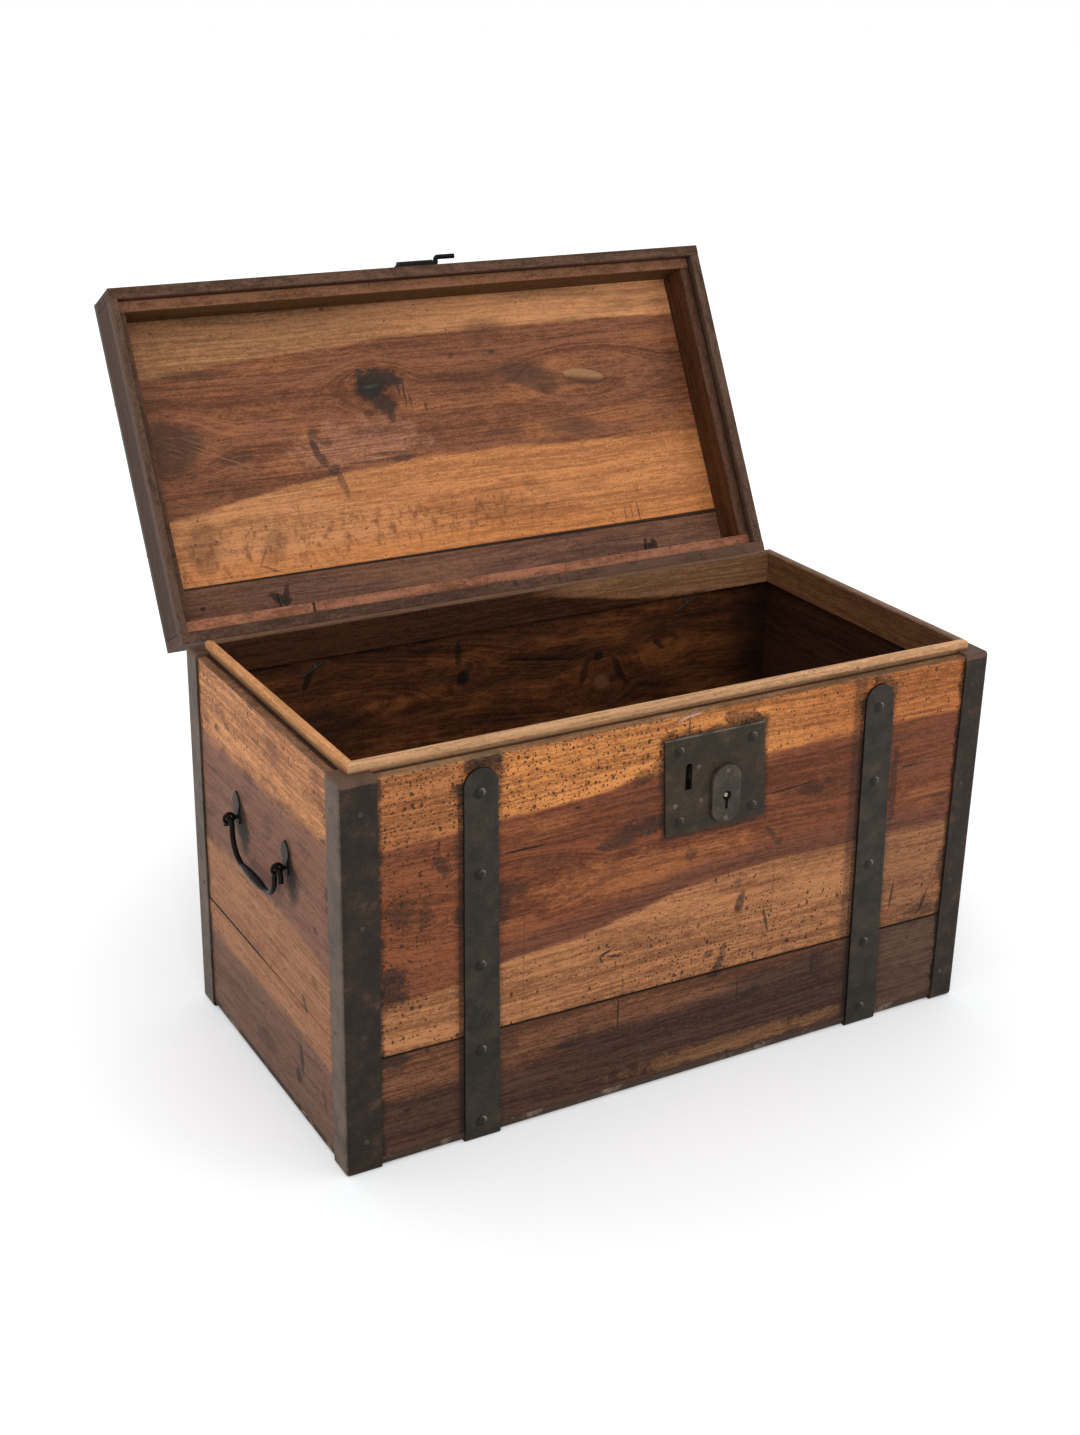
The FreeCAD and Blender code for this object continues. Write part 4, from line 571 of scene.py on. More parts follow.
# %% The tones of the upper front board
sap = tones(tone, ((0.54, 0.21, 0.062), 0.46),
            ((0.35, 0.122, 0.036), 0.42, smooth(patch, 0.5, 0.66)),
            ((0.41, 0.14, 0.04), 0.44, smooth(x, 0.06, 0.24)),
            ((0.37, 0.14, 0.05), 0.44, smooth(x, -0.24, -0.29)))
low_sap = tones(tone, ((0.38, 0.163, 0.068), 0.44),
                ((0.27, 0.11, 0.046), 0.42, smooth(patch, 0.5, 0.68)),
                ((0.27, 0.113, 0.05), 0.44, smooth(x, 0.22, 0.29)))
amber = blot(x, z, (-0.04, 0.272), (0.15, 0.026), ragged)
amber = amber.most(smooth(x, -0.262, -0.285) * 0.25)
amber = amber.most(smooth(patch, 0.54, 0.68) * 0.6)
plum = smooth(z - low_edge + ripple, 0.036, 0.014) * smooth(x, -0.3, -0.2)
plum = plum.most(smooth(patch, 0.46, 0.34) * 0.7)
heart = tones(tone, ((0.168, 0.051, 0.021), 0.46),
              ((0.3, 0.105, 0.038), 0.44, amber),
              ((0.135, 0.047, 0.026), 0.42, plum * 0.85))
colour = coats(heart, (sap, in_top), (low_sap, in_low))
print("the upper board has", len(f.tree.nodes), "nodes so far")

# %% The upper front board
marks = blots(x, z, ragged, FRONT_MARKS)
scores = blots(x, z, (fine - 0.5) * 2, FRONT_SCORES)
chips = blots(x, z, (fine - 0.5) * 2, FRONT_CHIPS)
worn_through = smooth(fine, 0.34, 0.56, 1.0, 0.72)
wormy = smooth(x, 0.03, -0.06, 0.24, 0.85) * in_top
low_reach = smooth(z, 0.215, 0.175, 0.3, 1.0)
wormy = wormy.most(in_low * low_reach * smooth((x - 0.06).size(), 0.2, 0.06, 0.24, 0.65))
wormy = wormy.most(smooth(x, -0.25, -0.33) * 0.35)
holes = worm_holes(x, z, 0.0049, 0.00084, wormy, 4)
holes = holes.most(worm_holes(x, z * 0.7, 0.0105, 0.00125, wormy * 0.75, 7))
holes = holes * smooth(y, 0.0025 - HALF_DEPTH, 0.0008 - HALF_DEPTH)
ledge = smooth(z, LEDGE - 0.0018, LEDGE - 0.0008)
joint = z - course(x, FRONT_SEAM)
soiled = smooth(joint, 0.01, 0.001) * smooth(cloud, 0.47, 0.56)
inside = smooth(y, 0.008 - HALF_DEPTH, 0.012 - HALF_DEPTH)
colour = coats(
    colour, (STAIN_AND_SHADE, marks * worn_through * 0.95),
    # Iron stain, with a painted shadow line beside the straps.
    (STAIN_AND_SHADE, iron_stain_and_shadow(x, z, cloud) * worn_through * 0.97),
    ((0.042, 0.017, 0.009), holes * 0.85), (DIRT_AND_SHADE, scores * 0.95),
    ((0.56, 0.36, 0.29), chips * 0.7),
    (shades((0.185, 0.118, 0.066), tone), ledge * 0.75),
    (DIRT_AND_SHADE, smooth(joint, 0.0022, 0.001) * 0.9), (DIRT_AND_SHADE, soiled * 0.4),
    (shades((0.042, 0.021, 0.01), tone), inside))
height = height - holes * 0.001 - scores * 0.0008 + cloud * 0.0005 - marks * 0.0002
dress(["front_upper_board"], surface(f, colour, height, 0.5))

# %% The lower front board
f = Finish("front_lower_wood")
x, y, z = places(f)
cloud = noise(x * 40, y * 10, z * 55, 4, 0.62)
patch = noise(x * 6, y * 10, z * 34, 3, 0.6)
fine = noise(x * 220, y * 10, z * 320, 3, 0.7)
ragged = torn_edge(cloud, fine)
tone, height = figure(x, z, y, 11)
upper = smooth(z + (patch - 0.5) * 0.08 - x * 0.07, 0.078, 0.112)
streak = blot(x, z, (0.08, 0.025), (0.175, 0.011), ragged)
marks = blots(x, z, ragged, (
    (48, 122, 11, 7, 0, 1), (52, 130, 6, 12, -20, 1), (-135, 82, 22, 3, -4, 0.9),
    (95, 82, 20, 6, 25, 0.7), (-345, 123, 22, 10, 0, 0.8), (-210, 110, 12, 20, 0, 0.5),
    (190, 100, 12, 20, 0, 0.35), (-330, 60, 4, 3, 0, 0.9)))
scores = blots(x, z, (fine - 0.5) * 1.8, (
    (-77, 104, 1.1, 24, 0, 1), (80, 90, 1, 20, 0, 0.8), (183, 94, 1, 20, 0, 0.7),
    (-128, 50, 0.8, 20, 0, 0.5), (330, 112, 14, 1, 30, 0.6), (-140, 28, 3, 2, 0, 0.8)))
holes = worm_holes(x, z, 0.014, 0.00095, 0.12, 9)
joint = course(x, FRONT_SEAM) - z
worn = smooth(z + (cloud - 0.5) * 0.02, 0.007, 0.005)
worn = worn * smooth(x, -0.25, 0.3, 0.2, 0.9) * smooth(fine, 0.44, 0.6)
inside = smooth(y, 0.008 - HALF_DEPTH, 0.012 - HALF_DEPTH)
colour = tones(tone, ((0.064, 0.03, 0.019), 0.5),
               ((0.165, 0.068, 0.034), 0.5, upper),
               ((0.096, 0.05, 0.032), 0.4, smooth(x, 0.27, 0.29)),
               ((0.2, 0.095, 0.042), 0.4, streak * 0.85))
colour = coats(
    colour, (STAIN_AND_SHADE, marks * 0.9),
    # Iron stain, with a painted shadow line beside the straps.
    (STAIN_AND_SHADE, iron_stain_and_shadow(x, z, cloud) * 0.85),
    (DIRT_AND_SHADE, holes.most(scores) * 0.85),
    (DIRT_AND_SHADE, smooth(joint, 0.0026, 0.0012) * 0.85),
    ((0.23, 0.155, 0.11), worn), ((0.03, 0.014, 0.008), inside))
height = height - holes * 0.001 - scores * 0.0006 + cloud * 0.0006
dress(["front_lower_board"], surface(f, colour, height, 0.58))

# %% [markdown]
# ## The end boards
# The ends are paler and pinker, with a greyish belt of heartwood behind the
# handle. One finish serves both ends: it is painted by height and by the
# distance along the end, and a different seed shifts the figure.

# %% Marks of the end boards
END_MARKS = (
    (-90, 78, 6, 22, -8, 0.8), (-80, 52, 9, 10, 0, 0.85), (125, 378, 7, 6, 0, 0.7),
    (93, 390, 10, 4, 0, 0.6), (64, 304, 12, 24, 0, 0.7), (-72, 306, 12, 24, 0, 0.7),
    (-103, 150, 12, 4, 60, 0.7), (-162, 364, 10, 2.5, 0, 0.8),
    (-167, 308, 4, 10, 0, 0.7), (-136, 254, 6, 5, 0, 0.6), (20, 442, 10, 6, 0, 0.7),
    (-150, 60, 5, 16, -15, 0.5), (10, 45, 30, 14, 0, 0.4), (-130, 190, 10, 8, 0, 0.35))
EYE_DARK_PATCHES = ((0.057, 0.284), (-0.077, 0.284))
END_SEAM = 0.146
print("end marks", len(END_MARKS), "and a dark place below", len(EYE_DARK_PATCHES), "eyes")


# %% The end boards
def end_wood(name, nodes, seed, out):
    """An end of the chest. out is -1 for the left end and 1 for the right."""
    f = Finish(name)
    x, y, z = places(f)
    cloud = noise(x * 12 + seed, y * 60, z * 60, 4, 0.62)
    patch = noise(x * 10 + seed, y * 16, z * 34, 3, 0.6)
    fine = noise(x * 12 + seed, y * 240, z * 300, 3, 0.7)
    ragged = torn_edge(cloud, fine) * 0.5
    tone, height = figure(y, z, x, seed)
    ripple = (patch - 0.5) * 0.02
    tan = tones(tone, ((0.37, 0.169, 0.082), 0.36),
                ((0.59, 0.262, 0.112), 0.42, smooth(z, 0.28, 0.32)),
                ((0.33, 0.14, 0.066), 0.42, smooth(patch, 0.5, 0.66) * 0.8))
    belt = tones(tone, ((0.225, 0.102, 0.064), 0.3),
                 ((0.17, 0.08, 0.052), 0.42, smooth(patch, 0.52, 0.62)))
    foot = shades((0.17, 0.085, 0.055), tone, 0.36)
    upper = course(y, ((-0.2, 0.366), (-0.1, 0.362), (0.0, 0.358), (0.2, 0.36)))
    lower = course(y, ((-0.2, 0.214), (-0.13, 0.219), (0.0, 0.229), (0.2, 0.224)))
    in_belt = (smooth(upper - z + ripple, -0.01, 0.012)
               * smooth(z - lower + ripple, -0.008, 0.008))
    base = course(y, ((-0.2, 0.108), (0.0, 0.112), (0.2, 0.104)))
    in_foot = smooth(base - z + ripple, -0.008, 0.012)
    marks = blots(y, z, ragged, END_MARKS)
    # A dark patch beside each handle eye.
    eye_darkening = 0.0
    for eye in EYE_DARK_PATCHES:
        spot = blot(y, z, eye, (0.021, 0.034), ragged, -10, 0.0)
        eye_darkening = spot.most(eye_darkening)
    soil = smooth(z + cloud * 0.02, 0.04, 0.008) * 0.6
    soil = soil.most(smooth(y.size() + (cloud - 0.5) * 0.03, 0.168, 0.176) * 0.75)
    holes = worm_holes(y, z, 0.008, 0.00095, 0.26, seed)
    eaten = smooth(z, 0.35, 0.385, 0.03, 0.4)
    holes = holes.most(worm_holes(y, z * 0.7, 0.012, 0.0014, eaten, seed + 2))
    open_joint = (smooth((z - END_SEAM).size(), 0.0022, 0.001)
                  * smooth(y, -0.06, 0.06, 0.2, 0.95))
    ledge = smooth(z, LEDGE - 0.0018, LEDGE - 0.0008)
    inside = smooth(x * out, HALF_WIDTH - 0.007, HALF_WIDTH - 0.011)
    colour = coats(
        tan, (belt, in_belt), (foot, in_foot), (STAIN_AND_SHADE, marks * 0.88),
        ((0.012, 0.008, 0.005), eye_darkening * 0.92), ((0.07, 0.048, 0.036), soil),
        ((0.04, 0.022, 0.014), holes * 0.75), (DIRT_AND_SHADE, open_joint),
        (shades((0.17, 0.098, 0.058), tone), ledge * 0.8),
        (shades((0.04, 0.015, 0.007), tone, 0.5), inside))
    height = height - holes * 0.001 + cloud * 0.0006
    dress(nodes, surface(f, colour, height, 0.6))


end_wood("left_end_wood", ["left_upper_board", "left_lower_board"], 21, -1.0)
end_wood("right_end_wood", ["right_upper_board", "right_lower_board"], 33, 1.0)

# %% [markdown]
# ## The back and the floor of the chest
# Inside, the wood was never cleaned or polished: it is nearly black-brown,
# and its figure slopes down to the right and parts round a ringed knot.

# %% The back boards
f = Finish("back_wood")
x, y, z = places(f)
cloud = noise(x * 34, y * 8, z * 50, 4, 0.62)
patch = noise(x * 8, y * 8, z * 30, 3, 0.6)
ragged = (cloud - 0.5) * 3
tone, height = figure(x, z, y, 41, (
    ((0.128, 0.318), (0.044, 0.036), 1.6), ((-0.29, 0.405), (0.056, 0.026), 1.4),
    ((-0.062, 0.352), (0.034, 0.024), 1.4), ((0.215, 0.345), (0.04, 0.026), 1.3),
    ((-0.18, 0.33), (0.07, 0.024), 1.3)), 0.1, 0.07)
heart_back = near(z + (patch - 0.5) * 0.05, 0.285, 0.095)
holes = worm_holes(x, z, 0.011, 0.0009, 0.18, 2)
outer = tones(tone, ((0.25, 0.105, 0.052), 0.45),
              ((0.165, 0.066, 0.036), 0.45, heart_back))
outer = mix(outer, (0.04, 0.025, 0.018), holes * 0.8)
knot = blot(x, z, (0.132, 0.314), (0.013, 0.011), ragged)
marks = blots(x, z, ragged, (
    (128, 350, 8, 7, 0, 1), (-62, 352, 10, 14, 0, 1), (-68, 385, 5, 16, 0, 0.8),
    (45, 359.5, 50, 2.2, -9, 0.9), (-262, 385, 4, 14, -25, 0.9),
    (-300, 420, 30, 14, 0, 0.8), (-255, 435, 14, 12, 0, 0.8), (160, 325, 6, 24, 30, 0.8),
    (218, 350, 10, 4, -40, 0.8), (108, 330, 5, 22, -15, 0.7)))
dark = tones(tone, ((0.074, 0.024, 0.009), 0.52),
             ((0.17, 0.057, 0.018), 0.5, smooth(patch, 0.48, 0.64) * 0.8),
             ((0.03, 0.013, 0.006), 0.5, smooth(patch, 0.45, 0.34) * 0.8))
dark = coats(
    dark, ((0.01, 0.005, 0.003), smooth(x, 0.31, 0.375) * 0.8),
    ((0.16, 0.07, 0.028), knot * 0.8), (BLACK_SHADE_AND_DIRT, marks * 0.9))
colour = mix(dark, outer, smooth(y, HALF_DEPTH - 0.01, HALF_DEPTH - 0.006))
height = height - holes * 0.0008 + cloud * 0.0006
dress(["back_upper_board", "back_lower_board"], surface(f, colour, height, 0.62))

# %% The bottom boards
f = Finish("bottom_wood")
x, y, z = places(f)
cloud = noise(x * 40, y * 40, z * 40, 4, 0.62)
tone, height = figure(x, y, z, 52)
edge = smooth(y.size(), HALF_DEPTH - 0.01, HALF_DEPTH - 0.003)
edge = edge.most(smooth(x.size(), HALF_WIDTH - 0.0095, HALF_WIDTH - 0.0025))
worn = mix((0.06, 0.038, 0.027), (0.21, 0.145, 0.105),
           smooth(cloud + tone * 0.1, 0.56, 0.74))
colour = coats(
    shades((0.05, 0.026, 0.015), tone, 0.6), (worn, edge),
    (shades((0.15, 0.1, 0.068), tone), smooth(z, 0.002, 0.0)))
dress(["bottom_front_board", "bottom_back_board"],
      surface(f, colour, height + cloud * 0.0012, 0.7))

# %% [markdown]
# ## The rim strips
# A thin strip stands up all round inside the mouth of the box and keeps the
# lid in place. Hands and the lid have worn its rounded top to pale wood, and
# the corner below is painted darker, as painted shade under the bead. Towards
# the right, the inside face is painted lit above a sloping line and in
# painted shadow below it.

# %% The rim strips
DIM_FACE = (0.06, 0.025, 0.012)


def lip_wood(name, node, along_y, seed, top, face, paler=1.0):
    """One strip: top is the tone of its worn bead, face that of the painted lit part of
    its inside; the rest of the inside is painted in shadow.

    paler is how many times as light the bead is at the right.
    """
    f = Finish(name)
    x, y, z = places(f)
    along, across = (y, x) if along_y else (x, y)
    cloud = noise(x * 60, y * 60, z * 90, 4, 0.6)
    tone, height = figure(along, z + across * 0.5, across, seed)
    outward = (x.size() - BEAD_X) if along_y else (y.size() - BEAD_Y)
    rub = smooth(z + (cloud - 0.5) * 0.003, 0.4448, 0.4476)
    # Painted shade: the cove darkens towards the ledge, under the bead.
    cove = mix(shades((0.3, 0.16, 0.08), tone, 0.35), (0.15, 0.082, 0.046),
               smooth(z, 0.4438, 0.4424) * 0.8)
    worn = shades(top, tone, 0.3) * smooth(x, -0.05, 0.3, 1.0, paler)
    inner = smooth(outward, 0.002, 0.0006) * smooth(z, 0.453, 0.4505)
    # Painted light: towards the right the inside face is lit above a sloping line, in
    # painted shadow below it.
    band = course(x, ((-0.4, 0.47), (-0.05, 0.455), (0.06, 0.44), (0.2, 0.419),
                      (0.25, 0.416), (0.4, 0.412)))
    lit = smooth(z - band + (cloud - 0.5) * 0.006, -0.003, 0.003)
    lit = lit * smooth(x, 0.0, 0.12)
    inward = mix(shades((0.05, 0.018, 0.007), tone, 0.5),
                 shades(face, tone, 0.36), lit)
    specks = smooth(cloud, 0.66, 0.74) * 0.55
    colour = coats(cove, (worn, rub), (inward, inner),
                   ((0.045, 0.025, 0.015), specks))
    dress([node], surface(f, colour, height + cloud * 0.0004, 0.5))


lip_wood("front_lip_wood", "front_lip", False, 61,
         (0.52, 0.292, 0.15), DIM_FACE, 1.35)
lip_wood("back_lip_wood", "back_lip", False, 64,
         (0.15, 0.078, 0.046), (0.275, 0.135, 0.064))
lip_wood("left_lip_wood", "left_lip", True, 63, (0.68, 0.32, 0.128), DIM_FACE)
lip_wood("right_lip_wood", "right_lip", True, 66,
         (0.24, 0.15, 0.1), (0.15, 0.068, 0.03))

# %% [markdown]
# ## The lid boards
# The underside of the lid is what shows when the chest is open. The wide
# board has sapwood along both edges, heartwood between, a dead black knot,
# a long dark scar and an oval pale knot with rings round it.

# %% Marks of the wide lid board
LID_SHADES = (
    (-350, -240, 46, 40, 0, 0.95), (-270, -222, 26, 10, 0, 0.6),
    (140, -283, 52, 22, 20, 0.8), (165, -270, 20, 16, 0, 0.8),
    (190, -212, 50, 13, 3, 0.55), (88, -216, 30, 6, 0, 0.6), (92, -350, 36, 16, 0, 0.45),
    (-85, -236, 36, 6, 0, 0.45), (-330, -120, 24, 36, 15, 0.5),
    (-245, -110, 16, 26, 30, 0.4), (-350, -165, 50, 12, 0, 0.4),
    (-300, -325, 50, 7, 4, 0.5), (-68, -266, 24, 14, 20, 0.7),
    (60, -292, 80, 14, 0, 0.4))
LID_MARKS = (
    (-79, -289, 28, 19, 5, 1), (-60, -298, 24, 13, 20, 0.9), (-68, -268, 19, 14, 0, 0.7),
    (-60, -254, 6, 14, 0, 0.7), (-88, -258, 8, 6, 0, 0.6), (-150, -228, 6, 6, 0, 0.5),
    (-89, -310, 8, 3, 30, 0.7), (-44.5, -291, 1.6, 20, -4, 0.9),
    (-37, -280, 1.2, 20, 3, 0.8), (-31, -268, 1.2, 12, -3, 0.6),
    (-12, -258, 2, 8, 0, 0.6), (-166, -240, 10, 9, 0, 0.6),
    (-169, -222, 5, 15, -10, 0.75), (-156, -229, 10, 5, 30, 0.45),
    (-162, -207, 6.5, 12, -30, 0.65), (-150, -193, 9, 7, -30, 0.62),
    (-142.5, -176, 5, 18, -12, 0.5), (-75, -205, 30, 3, 2, 0.45),
    (-58, -198, 18, 5, 2, 0.6), (-100, -198, 20, 2.6, 0, 0.4),
    (37, -319, 4.5, 4, 0, 0.6), (94.5, -318, 4.5, 3, 0, 0.6), (-122, -391, 4, 3, 0, 0.8),
    (236, -91, 0.8, 14, 0, 0.6), (246, -93, 0.8, 12, 0, 0.6), (256, -90, 1, 14, 0, 0.7),
    (243, -104, 12, 0.8, 0, 0.4), (-255, -85, 16, 1.6, 25, 0.6),
    (-262, -100, 1.6, 16, 30, 0.5))
print("lid marks", len(LID_MARKS), "and shades", len(LID_SHADES))

# %% The zones of the wide lid board
f = Finish("lid_wide_wood")
x, y, z = lid_places(f)
cloud = noise(x * 45, y * 60, z * 10, 4, 0.62)
patch = noise(x * 6, y * 26, z * 10, 3, 0.6)
fine = noise(x * 220, y * 320, z * 10, 3, 0.7)
ripple = (noise(x * 14, y * 60, z, 3) - 0.5) * 0.009
ragged = torn_edge(cloud, fine)
lid_knots = (((-0.078, -0.286), (0.046, 0.028), 1.3),
             ((0.222, -0.276), (0.09, 0.03), 1.55),
             ((-0.35, -0.245), (0.06, 0.034), 1.2))
tone, height = figure(x, y, z, 74, lid_knots)
front_edge = course(x, ((-0.4, -0.32), (-0.25, -0.335), (-0.15, -0.343), (0.0, -0.3495),
                        (0.2, -0.35), (0.4, -0.346)))
rear_edge = course(x, ((-0.4, -0.152), (-0.3, -0.166), (-0.2, -0.181), (-0.1, -0.19),
                       (0.05, -0.196), (0.2, -0.191), (0.4, -0.188)))
in_front = smooth(front_edge - y + ripple, -0.003, 0.003)
in_rear = smooth(y - rear_edge + ripple, -0.003, 0.003)
print("grain parts round", len(lid_knots), "knots")

# %% The tones of the wide lid board
light_patch = smooth(patch, 0.52, 0.66) * 0.8
warm = blot(x, y, (-0.115, -0.224), (0.105, 0.03), ragged, 0.0, 0.0)
heart = tones(tone, ((0.238, 0.091, 0.045), 0.44),
              ((0.35, 0.135, 0.054), 0.4, light_patch),
              ((0.15, 0.06, 0.033), 0.4, smooth(patch, 0.44, 0.34) * 0.7),
              ((0.445, 0.2, 0.115), 0.42, warm * 0.75))
front_sap = tones(tone, ((0.23, 0.108, 0.05), 0.38),
                  ((0.42, 0.2, 0.088), 0.38, smooth(y + ripple, -0.395, -0.345)),
                  ((0.68, 0.308, 0.134), 0.26, smooth(x, -0.25, 0.3)),
                  ((0.3, 0.145, 0.066), 0.3, smooth(patch, 0.52, 0.68) * 0.7))
rear_sap = tones(tone, ((0.56, 0.25, 0.105), 0.34),
                 ((0.63, 0.255, 0.092), 0.34, smooth(x, -0.28, 0.05)),
                 ((0.44, 0.17, 0.062), 0.38, light_patch),
                 ((0.62, 0.23, 0.07), 0.3, near(y, -0.088, 0.022) * 0.6))
colour = coats(heart, (front_sap, in_front), (rear_sap, in_rear))
print("the wide lid board has", len(f.tree.nodes), "nodes so far")

# %% [markdown]
# On top of the tones lie scuffs from things that were packed under the lid,
# and the oval pale knot, which sits in the board like a plug. Its upper part
# lies in the shade of its own edge.

# %% Scuffs and the plug of the lid
resin = blot(x, y, (-0.079, -0.29), (0.011, 0.0022), (fine - 0.5) * 2, -6)
scuff = smooth(noise(x * 95, y * 50, z, 3, 0.7), 0.48, 0.68)
where = smooth((y + 0.116).size(), 0.04, 0.01) * smooth(x, 0.17, 0.03)
where = where.most(blot(x, y, (-0.3, -0.11), (0.11, 0.034), ragged, -8) * 0.9)
pits = worm_holes(x, y, 0.009, 0.00085, 0.22, 6) * smooth(z, 0.07, 0.065)
plug_x, plug_y = 0.219, -0.2765
plug = blot(x, y, (plug_x, plug_y), (0.029, 0.008), fine - 0.5, 10, 0.85)
plug_rim = blot(x, y, (0.221, -0.2745), (0.034, 0.0115), fine - 0.5, 10)
shaded = smooth(y - plug_y - (x - plug_x) * 0.176, -0.001, 0.007)
plug_wood = mix((0.4, 0.2, 0.095), (0.15, 0.068, 0.034), shaded)
rays = near(noise((x + y * 1.6) * 7, (y - x * 0.45) * 190, z, 2), 0.6, 0.05)
rays = rays * blot(x, y, (-0.305, -0.225), (0.055, 0.022), ragged, 25)
print("the plug is at", plug_x, plug_y)

# %% The wide lid board
marks = blots(x, y, ragged, LID_MARKS)
gap = (y - LID_SEAM + x * 0.004).size()
ends = smooth(x.size(), HALF_WIDTH - 0.0025, HALF_WIDTH - 0.001)
outer = smooth(y, LID_FRONT + 0.0027, LID_FRONT + 0.0007).most(ends)
outer = outer.most(smooth(z, 0.0655, 0.0715))
top_wood = mix(shades((0.15, 0.07, 0.042), tone, 0.5), END_GREY, ends)
colour = coats(
    colour,
    ((0.07, 0.036, 0.024), blots(x, y, ragged * 0.45, LID_SHADES) * 0.8),
    ((0.026, 0.02, 0.017), marks * 0.95), ((0.05, 0.066, 0.055), resin * 0.7),
    ((0.23, 0.078, 0.032), scuff * where * 0.75),
    ((0.08, 0.036, 0.018), pits * 0.8), ((0.06, 0.028, 0.016), plug_rim * 0.75),
    (plug_wood, plug * smooth(tone, 0.0, 1.0, 0.75, 1.0)),
    ((0.3, 0.15, 0.075), rays * 0.6),
    (DIRT_AND_SHADE, smooth(gap, 0.0026, 0.0012) * 0.92), (top_wood, outer))
height = height + cloud * 0.0005 - marks * 0.0003
dress(["lid_wide_board"], surface(f, colour, height, 0.48))

# %% The narrow lid board
f = Finish("lid_narrow_wood")
x, y, z = lid_places(f)
cloud = noise(x * 45, y * 60, z * 10, 4, 0.62)
patch = noise(x * 6, y * 26, z * 10, 3, 0.6)
fine = noise(x * 220, y * 320, z * 10, 3, 0.7)
ragged = torn_edge(cloud, fine)
tone, height = figure(x, y, z, 85)
marks = blots(x, y, ragged, (
    (-252, -49, 14, 6, 25, 0.9), (-243, -55, 4, 12, 15, 0.8), (258, -42, 7, 6, 0, 0.9),
    (268, -46, 4, 9, -20, 0.8), (281, -33, 9, 5, -20, 0.8),
    (-348, -50.5, 4, 3.5, 0, 0.9), (90, -55, 8, 4, 0, 0.3), (-88, -72, 5, 2, 0, 0.5)))
ends = smooth(x.size(), HALF_WIDTH - 0.0025, HALF_WIDTH - 0.001)
colour = tones(tone, ((0.17, 0.078, 0.046), 0.36),
               ((0.23, 0.108, 0.065), 0.36, smooth(x, -0.25, 0.1)),
               ((0.15, 0.074, 0.05), 0.36, smooth(patch, 0.5, 0.62)))
colour = coats(
    colour, ((0.018, 0.012, 0.01), marks * 0.93),
    (DIRT_AND_SHADE, smooth(y, LID_SEAM + 0.0027, LID_SEAM + 0.0012) * 0.85),
    (END_GREY, ends))
dress(["lid_narrow_board"], surface(f, colour, height + cloud * 0.0006, 0.6))

# %% [markdown]
# ## The frame of the lid
# Two layers of strips stand round the lid's edge. Outside they are grey with
# handling; the inner faces stay dark red-brown.

# %% The lid's frame
def frame_wood(name, nodes, along_y, seed, outside, inside, rim, joint=-1.0):
    """A strip of the lid: its outer face, its inner faces and its rim.

    joint is the x of a butt joint, left of which the wood is more orange.
    """
    f = Finish(name)
    x, y, z = lid_places(f)
    along, across = (y, x) if along_y else (x, y)
    cloud = noise(x * 50, y * 50, z * 60, 4, 0.62)
    tone, height = figure(along, z, across, seed)
    if along_y:
        outer = smooth(x.size(), HALF_WIDTH - 0.004, HALF_WIDTH - 0.001)
    else:
        outer = smooth((y + HINGE[0]).size(), HALF_DEPTH - 0.0055, HALF_DEPTH - 0.0015)
    at_rim = smooth(z, STRIP_FACE + 0.0032, STRIP_FACE + 0.0007)
    # Dirt and painted shade in the crease at the strip face, kept off the outer face.
    crease_shade = (smooth(z, STRIP_FACE - 0.0058, STRIP_FACE - 0.0013)
              * smooth(z, STRIP_FACE - 0.0002, STRIP_FACE - 0.0008))
    beyond = smooth(x, joint, joint - 0.002) * at_rim
    colour = tones(tone, (inside, 0.45), (outside, 0.4, outer),
                   (rim, 0.42, at_rim), ((0.35, 0.142, 0.077), 0.42, beyond))
    colour = coats(
        colour, (DIRT_AND_SHADE, crease_shade * (1.0 - outer) * 0.85),
        (DIRT_AND_SHADE, near(x, joint, 0.0022) * 0.9),
        ((0.024, 0.015, 0.011), smooth(cloud, 0.62, 0.72) * 0.7))
    dress(nodes, surface(f, colour, height + cloud * 0.0007, 0.6))


OUTSIDE, PLAIN = (0.105, 0.054, 0.034), (0.075, 0.03, 0.014)
frame_wood("front_skirt_wood", ["lid_front_skirt"], False, 91,
           OUTSIDE, PLAIN, (0.12, 0.063, 0.04))
frame_wood("back_skirt_wood", ["lid_back_skirt"], False, 92,
           OUTSIDE, PLAIN, (0.115, 0.06, 0.04))
frame_wood("short_skirt_wood", ["lid_left_skirt", "lid_right_skirt"], True, 93,
           (0.06, 0.023, 0.011), PLAIN, (0.1, 0.055, 0.036))
frame_wood("front_strip_wood", ["lid_front_strip"], False, 95,
           PLAIN, (0.105, 0.054, 0.02), (0.2, 0.088, 0.046))
frame_wood("back_strip_wood", ["lid_back_strip"], False, 96,
           PLAIN, (0.16, 0.064, 0.034), (0.32, 0.13, 0.071), -0.23)
frame_wood("short_strip_wood", ["lid_left_strip", "lid_right_strip"], True, 97,
           PLAIN, (0.088, 0.034, 0.013), (0.095, 0.044, 0.026))

# %% [markdown]
# ## Forged iron
# Old iron that was oiled and handled for a century is nearly black, with
# brown rust in the hollows and a faint shine where it is rubbed. Hammering
# leaves it slightly uneven. One recipe serves all the ironwork, with the
# amount of rust and the tone of each piece given to it.

# %% Where the nails are
def nail_middles(name):
    """The (x, z) middle of each nail of a node, found by walking its mesh."""
    shape = welded(name)
    unseen, middles = set(shape.verts), []
    while unseen:
        todo, nail = [unseen.pop()], []
        while todo:
            vert = todo.pop()
            nail.append(vert.co.copy())
            beside = {e.other_vert(vert) for e in vert.link_edges} & unseen
            unseen -= beside
            todo += beside
        middle = sum(nail, Vector()) / len(nail)
        middles.append((middle.x, middle.z))
    shape.free()
    return middles


